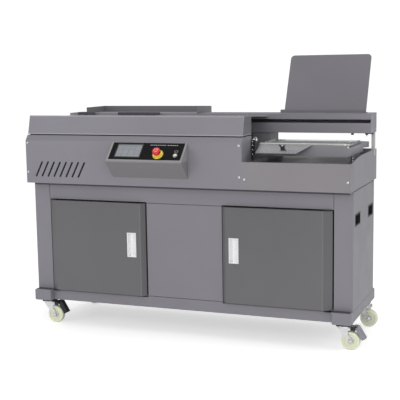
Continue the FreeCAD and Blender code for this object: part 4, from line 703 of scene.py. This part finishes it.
def frame_ring(bm, centre, u, v, outer, inner, corner, thick):
    """Flat rounded frame: an outer and an inner outline joined top and bottom."""
    w = u.cross(v)
    loops = []
    for (width, height), radius in ((outer, corner), (inner, corner * 0.6)):
        points = ring_outline(width, height, radius)
        low = [bm.verts.new(centre + u * a + v * b) for a, b in points]
        high = [bm.verts.new(vert.co + w * thick) for vert in low]
        loops.append((low, high))
    (ol, oh), (il, ih) = loops
    count = len(ol)
    for index in range(count):
        n = (index + 1) % count
        bm.faces.new((ol[index], ol[n], oh[n], oh[index]))
        bm.faces.new((ih[index], ih[n], il[n], il[index]))
        bm.faces.new((oh[index], oh[n], ih[n], ih[index]))
        bm.faces.new((il[index], il[n], ol[n], ol[index]))
    edges = [e for e in bm.edges if len(e.link_faces) == 2 and e.calc_face_angle(0.0) > 1.2]
    bmesh.ops.bevel(bm, geom=edges, offset=thick * 0.25, segments=1, affect="EDGES", clamp_overlap=True)


def estop_arrow(start):
    """Outline of one curved arrow about the button's axis."""
    def at(radius, angle):
        return radius * math.cos(angle), radius * math.sin(angle)

    tip = start + ARROW_SWEEP
    angles = [start + ARROW_SWEEP * step / 6 for step in range(7)]
    head = [at(ARROW_OUTER + ARROW_FLARE, tip), at((ARROW_INNER + ARROW_OUTER) / 2, tip + ARROW_POINT),
            at(ARROW_INNER - ARROW_FLARE, tip)]
    inner_side = [at(ARROW_INNER, angle) for angle in reversed(angles)]
    return [at(ARROW_OUTER, angle) for angle in angles] + head + inner_side


def console_details():
    """Screen bezel, plain panel marks, start button's bezel and the emergency stop's arrows and rule."""
    down, out = slope_axes()
    up = -down
    bm = new_mesh()
    frame_ring(bm, console_point(*SCREEN_AT, FASCIA), X, up, (118 * MM, 73 * MM), (108 * MM, 63 * MM),
               3 * MM, 1.4 * MM)
    settle("screen_bezel", bm, black_plastic, "frame")

    bm = new_mesh()
    dash_outline = ring_outline(5.4 * MM, 3.6 * MM, 0.8 * MM, 3)
    for dash in range(TITLE_DASHES):
        start = TITLE_AT[0] + dash * TITLE_PITCH + (TITLE_GAP if dash > TITLE_BREAK else 0.0)
        slab(bm, dash_outline, console_point(start, TITLE_AT[1], FASCIA), X, up, 0.2 * MM)
    frame_ring(bm, console_point(*SYMBOL_AT, FASCIA), X, up, (15 * MM, 9 * MM), (12.6 * MM, 6.6 * MM),
               1.5 * MM, 0.3 * MM)
    settle("panel_marks", bm, faint_ink, "frame")

    bm = new_mesh()
    profile = mm([(7.15, 0.0), (9.2, 0.0), (9.4, 0.7), (8.9, 1.7), (7.8, 2.1), (7.15, 1.9)])
    lathe(bm, profile, console_point(*START_AT, FASCIA), out, 32)
    settle("start_bezel", bm, dull_silver, "frame")

    bm = new_mesh()
    face = console_point(*ESTOP_AT, ESTOP_HEAD_TOP - 0.05)
    for arrow in range(ARROWS):
        slab(bm, estop_arrow(math.tau * arrow / ARROWS), face, X, up, 0.35 * MM)
    settle("estop_arrows", bm, ink, "estop")

    bm = new_mesh()
    profile = mm([(20.6, 0.0), (22.0, 0.0), (22.0, 0.3), (20.6, 0.3)])
    lathe(bm, profile, console_point(*ESTOP_AT, ESTOP_COLLAR_TOP), out, 40)
    settle("collar_rule", bm, black_plastic, "frame")


# ---- casters ------------------------------------------------------------------------
PLATE_THICK = 3.0               # millimetres, as are all of the casters' sizes below
BOLT_PITCH = 24.0
BOLT_ACROSS = 9.0
CAP_REACH = 19.5
RACE_SEAL = mm([(22.05, 99.2), (27.0, 99.2), (28.2, 101.2), (27.0, 103.4), (25.0, 104.0), (25.0, 107.0),
                (22.05, 107.0)])
AXLE_CAP = mm([(0.0, 6.2), (3.4, 5.6), (5.6, 3.6), (6.4, 1.2), (8.8, 0.9), (9.2, 0.0), (0.0, 0.0)])
HUB_RING = mm([(14.0, 7.9), (20.0, 7.9), (20.6, 8.8), (19.4, 9.6), (14.6, 9.6), (14.0, 8.8)])


def caster_details():
    """Bolts, race seal, axle caps and hub rings of each caster, then the front pair's brake parts."""
    for end in ("left", "right"):
        for face in ("front", "rear"):
            one_caster(f"{face}_{end}")
        brake_details(end)


def one_caster(corner):
    """Parts that dress the caster at one corner."""
    axis = Vector(JOINTS[f"caster_swivel_{corner}"]["pos_m"])
    wheel_joint = JOINTS[f"wheel_spin_{corner}"]
    axle, spin = Vector(wheel_joint["pos_m"]), Vector(wheel_joint["axis"])
    plate_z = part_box("side_beams")[0].z - PLATE_THICK * MM

    bm = new_mesh()
    for sx in (-1, 1):
        for sy in (-1, 1):
            place = Vector((axis.x + sx * BOLT_PITCH * MM, axis.y + sy * BOLT_PITCH * MM, plate_z))
            hex_bolt(bm, place, -Z, BOLT_ACROSS * MM, 5 * MM)
            hex_bolt(bm, place - Z * (7 * MM), -Z, BOLT_ACROSS * MM, 7.2 * MM, washer=False)
    settle(f"plate_bolts_{corner}", bm, black_plastic, "frame")

    bm = new_mesh()
    lathe(bm, RACE_SEAL, Vector((axis.x, axis.y, 0)), Z, 40)
    settle(f"race_seal_{corner}", bm, rubber, "frame")

    bm = new_mesh()
    for side in (-1, 1):
        lathe(bm, AXLE_CAP, axle + spin * (side * CAP_REACH * MM), spin * side, 28)
    settle(f"axle_caps_{corner}", bm, bright, f"caster_{corner}")

    bm = new_mesh()
    for side in (-1, 1):
        lathe(bm, HUB_RING, axle, spin * side, 40)
    nylon = frame["nodes"][f"wheel_{corner}"].data.materials[0]
    settle(f"hub_ring_{corner}", bm, nylon, f"roll_{corner}")


def brake_details(end):
    """Tread ribs on the pedal, the shoe arm and its rubber tip."""
    corner = f"front_{end}"
    joint = JOINTS[f"brake_press_{end}"]
    axle = Vector(JOINTS[f"wheel_spin_{corner}"]["pos_m"])
    pivot, spin = Vector(joint["pos_m"]), Vector(joint["axis"]).normalized()
    swivel = Vector(JOINTS[f"caster_swivel_{corner}"]["pos_m"])
    ahead = Vector((axle.x - swivel.x, axle.y - swivel.y, 0)).normalized()
    base = Vector((swivel.x, swivel.y, 0))
    body = f"brake_{end}"
    finish = black_plastic if end == "left" else pedal_grey

    bm = new_mesh()
    half, turn = Vector((10, 1.4, 7.5)) * MM, Matrix((ahead, spin, Z)).transposed()
    for side in (-1, 1):
        cover = base + ahead * (37 * MM) + spin * (side * 18.0 * MM) + Z * (88.5 * MM)
        block(bm, cover - half, cover + half, 1.0 * MM, turn)
    settle(f"brake_cover_{end}", bm, black_plastic, f"caster_{corner}")

    knee, toe = base + ahead * (57 * MM) + Z * (98 * MM), base + ahead * (86 * MM) + Z * (50 * MM)
    along = (toe - knee).normalized()
    out = along.cross(spin)
    if out.dot(ahead) < 0:
        out = -out
    bm = new_mesh()
    proud = 0.9 * MM if spin.cross(along).dot(out) > 0 else -0.9 * MM
    for rib in range(6):
        centre = knee + along * ((14 + rib * 7) * MM) + out * (3.3 * MM)
        slab(bm, ring_outline(22 * MM, 3 * MM, 1.2 * MM, 3), centre, spin, along, proud)
    settle(f"pedal_ribs_{end}", bm, finish, body)

    bm = new_mesh()
    angle = math.radians(42)
    face_dir = ahead * math.cos(angle) + Z * math.sin(angle)
    shoe_at = axle + face_dir * (46 * MM)
    turn = Matrix((ahead * math.sin(angle) - Z * math.cos(angle), spin, face_dir)).transposed()
    half = Vector((7, 8, 2.5)) * MM
    block(bm, shoe_at - half, shoe_at + half, 1.2 * MM, turn)
    settle(f"brake_shoe_{end}", bm, rubber, body)

    bm = new_mesh()
    arm_end = shoe_at + face_dir * (2.6 * MM)
    points = [pivot + Z * (-3.5 * MM) + ahead * (2 * MM), pivot + ahead * (15 * MM) - Z * (7 * MM),
              arm_end + Z * (3 * MM), arm_end]
    pipe(bm, points, 2.6 * MM, 10, 6)
    settle(f"shoe_arm_{end}", bm, zinc, body)


# ---- loading station ----------------------------------------------------------------
CHAIN_LINKS, CHAIN_FOOT, CHAIN_PITCH = 10, 768, 6.2
CHAIN_PINS = (773, 791, 809, 824)


def loading_details():
    """Drag chain with its end fitting, housing bolts, levelling foot, a dark rod as painted shade under the guide
    plate's edge, and wing knob cap.
    """
    bm = new_mesh()
    for link in range(CHAIN_LINKS):
        z = CHAIN_FOOT + link * CHAIN_PITCH
        shift = 1.4 if link % 2 else 0.0
        block(bm, spot(986 + shift, 62 + shift, z), spot(996 + shift, 74, z + 5.0), 0.9 * MM)
    settle("drag_chain", bm, void_black, "frame")

    bm = new_mesh()
    block(bm, spot(984, 60, 831), spot(1000, 76, 835), 1.0 * MM)
    hex_bolt(bm, spot(1006, 64, 831), -Y, 7 * MM, 3 * MM)
    for z in CHAIN_PINS:
        cross_head(bm, spot(990, 62, z), -Y, 2.8 * MM, 1.6 * MM, turn=z * 0.3)
    hose = ((996, 68, 835), (1000, 68, 841), (1006, 66, 838), (1007, 66, 832))
    pipe(bm, [spot(*place) for place in hose], 1.8 * MM, 8, 5)
    settle("chain_fitting", bm, bright, "frame")

    bm = new_mesh()
    for x, y in ((1336, 360), (1395, 369)):
        hex_bolt(bm, spot(x, y, 843), -Z, 11 * MM, 7 * MM)
    block(bm, spot(1383, 391, 836), spot(1417.5, 397, 842.9), 1.0 * MM)
    settle("beam_bolts", bm, black_plastic, "frame")

    bm = new_mesh()
    tip = mm([(0.0, 0.0), (2.6, 0.0), (2.6, 5.0), (1.6, 6.2), (0.0, 6.4)])
    lathe(bm, tip, spot(1395, 369, 834.3), -Z, 20)
    settle("bolt_tip", bm, bright, "frame")

    bm = new_mesh()
    lathe(bm, mm([(0.0, 0.1), (8.0, 0.1), (8.0, 2.0), (4.0, 3.0), (4.0, 23.5), (0.0, 23.5)]),
          spot(1384, 146, 745), Z, 20)
    hex_bolt(bm, spot(1384, 146, 752), Z, 11 * MM, 5 * MM, washer=False)
    settle("levelling_foot", bm, bright, "frame")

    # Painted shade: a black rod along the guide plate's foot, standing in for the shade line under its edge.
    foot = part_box("guide_plate")[0]
    foot_y, foot_z = spot(0, 1.4, 0).y, foot.z + 1.0 * MM
    bm = new_mesh()
    stops = (foot.x + 1 * MM, foot.x + 84 * MM, spot(1188, 0, 0).x)
    pipe(bm, [Vector((x, foot_y, foot_z)) for x in stops], 1.3 * MM, 8, 2)
    settle("guide_foot_shade", bm, black_plastic, "frame")

    head = Vector(JOINTS["wing_knob_turn"]["pos_m"])
    out = Vector(JOINTS["wing_knob_turn"]["axis"]).normalized()
    bm = new_mesh()
    cap = mm([(0.0, 0.0), (3.6, 0.0), (3.6, 1.4), (2.4, 2.6), (0.0, 2.9)])
    lathe(bm, cap, head + out * (12.4 * MM), out, 20)
    settle("knob_cap", bm, bright, "wing_knob")


# ---- seams --------------------------------------------------------------------------
def seams():
    """Rubber strip between the lid and the body; dark strips under the body, in the gap under the paper tray and
    on the beams' noses as painted shade; dark seam lines on the rails.
    """
    bm = new_mesh()
    block(bm, spot(8, -35, 848.05), spot(981, -28, 851.7), 0.8 * MM)
    settle("lid_gasket", bm, void_black, "frame")

    # Painted shade: grey strips along the top rail under the body and along the right end, standing in for the
    # shadow under the body's edge.
    bm = new_mesh()
    block(bm, spot(2, -2.6, 627.5), spot(1406, -0.05, 640.9), 0.8 * MM)
    block(bm, spot(1420.02, 1, 637.2), spot(1420.6, 406, 640.9), 0.2 * MM)
    settle("body_shade_strip", bm, shade_strip_grey, "frame")

    # Painted shade: dark strips in the front of the gap under the paper tray, standing in for its shadow.
    bm = new_mesh()
    for x0, x1 in ((54, 145), (261, 471)):
        block(bm, spot(x0, 313.6, 916.1), spot(x1, 316.4, 929.8), 1.2 * MM)
    settle("tray_gap_shade", bm, shade_strip_grey, "frame")

    # Painted shade: dark strips on top of the beams' noses, standing in for the shade under the body.
    bm = new_mesh()
    for x0, x1 in ((5.0, 75.5), (1344.5, 1415.0)):
        block(bm, spot(x0, -29.5, 162.55), spot(x1, -1.0, 163.6), 0.4 * MM)
    settle("nose_shade_strips", bm, shade_strip_grey, "frame")

    bm = new_mesh()
    for low_z, high_z in ((162.0, 164.0), (562.2, 564.2)):
        block(bm, spot(540, -0.35, low_z), spot(876, -0.02, high_z), 0.15 * MM)
    for x in (74.4, 1342.6):
        block(bm, spot(x - 0.9, -0.35, 566), spot(x + 0.9, -0.02, 627), 0.15 * MM)
    settle("rail_seams", bm, motor_black, "frame")


# ---- back ---------------------------------------------------------------------------
def back_details():
    """Power inlet, fan grille, pressed louvres and cable gland on the rear panel."""
    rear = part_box("body_back_panel")[1].y

    def on_back(x, z, proud=0.0):
        place = spot(x, 0, z)
        place.y = rear + proud * MM
        return place

    bm = new_mesh()
    frame_ring(bm, on_back(90, 690), -X, Z, (58 * MM, 46 * MM), (34 * MM, 26 * MM), 4 * MM, 3.0 * MM)
    for x in (82, 90, 98):
        block(bm, on_back(x - 1.6, 686, -0.5), on_back(x + 1.6, 694, 1.8), 0.4 * MM)
    settle("power_inlet", bm, black_plastic, "frame")

    bm = new_mesh()
    hub = on_back(300, 745)
    for radius in (12, 24, 36, 46):
        lathe(bm, [((radius - 1.2) * MM, 1.4 * MM), (radius * MM, 0.6 * MM), ((radius + 1.2) * MM, 1.4 * MM),
                   (radius * MM, 3.0 * MM)], hub, Y, 48)
    for spoke in range(4):
        angle = math.radians(45 + 90 * spoke)
        tip = hub + (X * math.cos(angle) + Z * math.sin(angle)) * (58 * MM)
        pipe(bm, [hub + Y * 1.6 * MM, (hub + tip) / 2 + Y * 1.6 * MM, tip + Y * 1.6 * MM], 1.3 * MM, 8, 3)
    settle("fan_grille", bm, black_plastic, "frame")

    bm = new_mesh()
    for bank in (600, 780):
        for row in range(7):
            z = 700 + row * 16
            outline = [(0.0, 0.0), (5 * MM, 1.0 * MM), (6.5 * MM, 5 * MM), (0.0, 8 * MM)]
            slab(bm, outline, on_back(bank, z), Y, Z, 120 * MM, radius=0.8 * MM)
    settle("rear_louvres", bm, body_paint, "frame")

    bm = new_mesh()
    lathe(bm, mm([(0.0, 0.0), (11, 0.0), (11, 3), (8.5, 4), (8.5, 7), (7, 9), (4, 9.4), (0.0, 9.4)]),
          on_back(150, 690), Y, 24)
    settle("cable_gland", bm, black_plastic, "frame")


# ---- inside -------------------------------------------------------------------------
VENTS, VENT_PITCH = 8, 29.3
VENT_FOOT, VENT_HEAD = (43, 673), (73, 732)      # the slots' lower and upper ends along X and up
VENT_WIDTH, VENT_LIP = 5.0 * MM, 1.3 * MM


def inside_details():
    """Dark sheet behind the vents and dark rims round their slots as painted shade, cables on the deck, jaw pads
    and magnet catches.
    """
    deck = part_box("deck_plate")[1].z
    # Painted shade: a dark sheet just behind the vent slots, making them read as deep shadow.
    bm = new_mesh()
    block(bm, spot(30, -50.5, 662), spot(300, -44, 742), 1.0 * MM)
    settle("vent_shade_sheet", bm, void_black, "frame")

    # Painted shade: dark rims round each vent slot, widening its shadow.
    bm = new_mesh()
    front_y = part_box("body_front_panel")[0].y
    for slot in range(VENTS):
        shift = slot * VENT_PITCH
        foot, head = spot(VENT_FOOT[0] + shift, 0, VENT_FOOT[1]), spot(VENT_HEAD[0] + shift, 0, VENT_HEAD[1])
        along, length = (head - foot).normalized(), (head - foot).length
        centre = (head + foot) / 2
        centre.y = front_y
        outer, inner = [(width, length + width) for width in (VENT_WIDTH + 2 * VENT_LIP, VENT_WIDTH)]
        frame_ring(bm, centre, Y.cross(along), along, outer, inner, 2.4 * MM, 0.3 * MM)
    settle("vent_shade_rims", bm, void_black, "frame")

    bm = new_mesh()
    routes = [((300, 90), (380, 60), (480, 90), (560, 230)), ((300, 120), (420, 100), (640, 110), (705, 210)),
              ((300, 60), (440, 20), (560, -10), (600, -40))]
    for lane, route in enumerate(routes):
        height = 8.0 + lane * 2.0
        points = [spot(x, y, 0) + Z * (deck + height * MM) for x, y in route]
        pipe(bm, points, 3.6 * MM, 10, 6)
    settle("deck_cables", bm, cable_sheath, "frame")

    jaw_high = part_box("front_clamp_plate")[1]
    rear_low, rear_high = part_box("rear_clamp_plate")
    for name, y0, y1, body in (("front", jaw_high.y, jaw_high.y + 1.5 * MM, "front_jaw"),
                               ("rear", rear_low.y - 1.5 * MM, rear_low.y, "carriage")):
        bm = new_mesh()
        for row in range(4):
            z = rear_low.z + (4 + row * 8) * MM
            low, high = Vector((rear_low.x + 0.02, y0, z)), Vector((rear_high.x - 0.02, y1, z + 6 * MM))
            block(bm, low, high, 0.6 * MM)
        settle(f"jaw_pad_{name}", bm, rubber, body)

    bm = new_mesh()
    for x in (560, 842):
        block(bm, spot(x - 14, 17, 540), spot(x + 14, 29, 562), 1.5 * MM)
    settle("magnet_catches", bm, black_plastic, "frame")


panel_screws()
extra_screws()
console_details()
caster_details()
loading_details()
seams()
back_details()
inside_details()


# ---- stage --------------------------------------------------------------------------
WORLD_LIGHT = 0.58
FLOOR_LIFT = 0.46
LIGHTS = (
    ("key", (2000, -4100, 2100), (2.8, 2.2), 44.0),
    ("fill", (-1700, -3000, 1500), (2.2, 2.0), 14.0),
    ("side", (4200, 200, 2000), (2.4, 2.0), 19.0),
    ("top", (700, 100, 3600), (3.2, 2.2), 20.0),
)
CAMERA_AT = (2183.154, -3561.982, 1120.036)
CAMERA_LENS = 84.49
CAMERA_YAW, CAMERA_PITCH, CAMERA_ROLL = (math.radians(angle) for angle in (21.476, -7.952, -0.891))


def studio():
    """Pale floor, white surroundings and soft lights."""
    floor_mesh = new_mesh()
    bmesh.ops.create_grid(floor_mesh, x_segments=1, y_segments=1, size=12.0)
    mesh = bpy.data.meshes.new("studio_floor")
    floor_mesh.to_mesh(mesh)
    floor_mesh.free()
    floor = bpy.data.objects.new("studio_floor", mesh)
    bpy.context.scene.collection.objects.link(floor)
    f = Finish("studio_floor", Roughness=0.7)
    f.feed("Base Color", f.shade(paint_value(250, 250, 250), f.remap(f.noise(2.0, 2.0), 0.3, 0.7, 0.99, 1.0)))
    f.feed("Specular IOR Level", 0.2)
    seen = f.add("ShaderNodeLightPath").outputs["Is Camera Ray"]
    f.feed("Emission Color", (1.0, 1.0, 1.0, 1.0))
    f.feed("Emission Strength", f.math("MULTIPLY", seen, FLOOR_LIFT))
    mesh.materials.append(f.material)

    world = bpy.data.worlds.new("studio")
    bpy.context.scene.world = world
    world.use_nodes = True
    tree = world.node_tree
    tree.nodes.clear()
    output = tree.nodes.new("ShaderNodeOutputWorld")
    background = tree.nodes.new("ShaderNodeBackground")
    path = tree.nodes.new("ShaderNodeLightPath")
    level = tree.nodes.new("ShaderNodeMapRange")
    level.inputs["To Min"].default_value = WORLD_LIGHT
    level.inputs["To Max"].default_value = 1.05
    tree.links.new(path.outputs["Is Camera Ray"], level.inputs["Value"])
    tree.links.new(level.outputs[0], background.inputs["Strength"])
    background.inputs["Color"].default_value = (1.0, 1.0, 1.0, 1.0)
    tree.links.new(background.outputs[0], output.inputs["Surface"])

    target = spot(710, 200, 600)
    for name, place, size, power in LIGHTS:
        light = bpy.data.lights.new(name, "AREA")
        light.shape = "RECTANGLE"
        light.size, light.size_y = size
        light.energy = power
        lamp = bpy.data.objects.new(name, light)
        bpy.context.scene.collection.objects.link(lamp)
        lamp.location = spot(*place)
        aim = target - lamp.location
        lamp.rotation_euler = aim.to_track_quat("-Z", "Y").to_euler()


def camera():
    """Camera at the viewpoint that shows the front and the right end."""
    data = bpy.data.cameras.new("view")
    data.sensor_width = 36.0
    data.lens = CAMERA_LENS
    data.clip_end = 60.0
    look = Vector((-math.sin(CAMERA_YAW) * math.cos(CAMERA_PITCH),
                   math.cos(CAMERA_YAW) * math.cos(CAMERA_PITCH), math.sin(CAMERA_PITCH)))
    right = look.cross(Z).normalized()
    up = right.cross(look)
    side = right * math.cos(CAMERA_ROLL) + up * math.sin(CAMERA_ROLL)
    head = up * math.cos(CAMERA_ROLL) - right * math.sin(CAMERA_ROLL)
    eye = bpy.data.objects.new("view", data)
    bpy.context.scene.collection.objects.link(eye)
    turn = Matrix((side, head, -look)).transposed().to_4x4()
    eye.matrix_world = Matrix.Translation(spot(*CAMERA_AT)) @ turn
    bpy.context.scene.camera = eye


studio()
camera()
bpy.context.scene.view_settings.view_transform = "Standard"
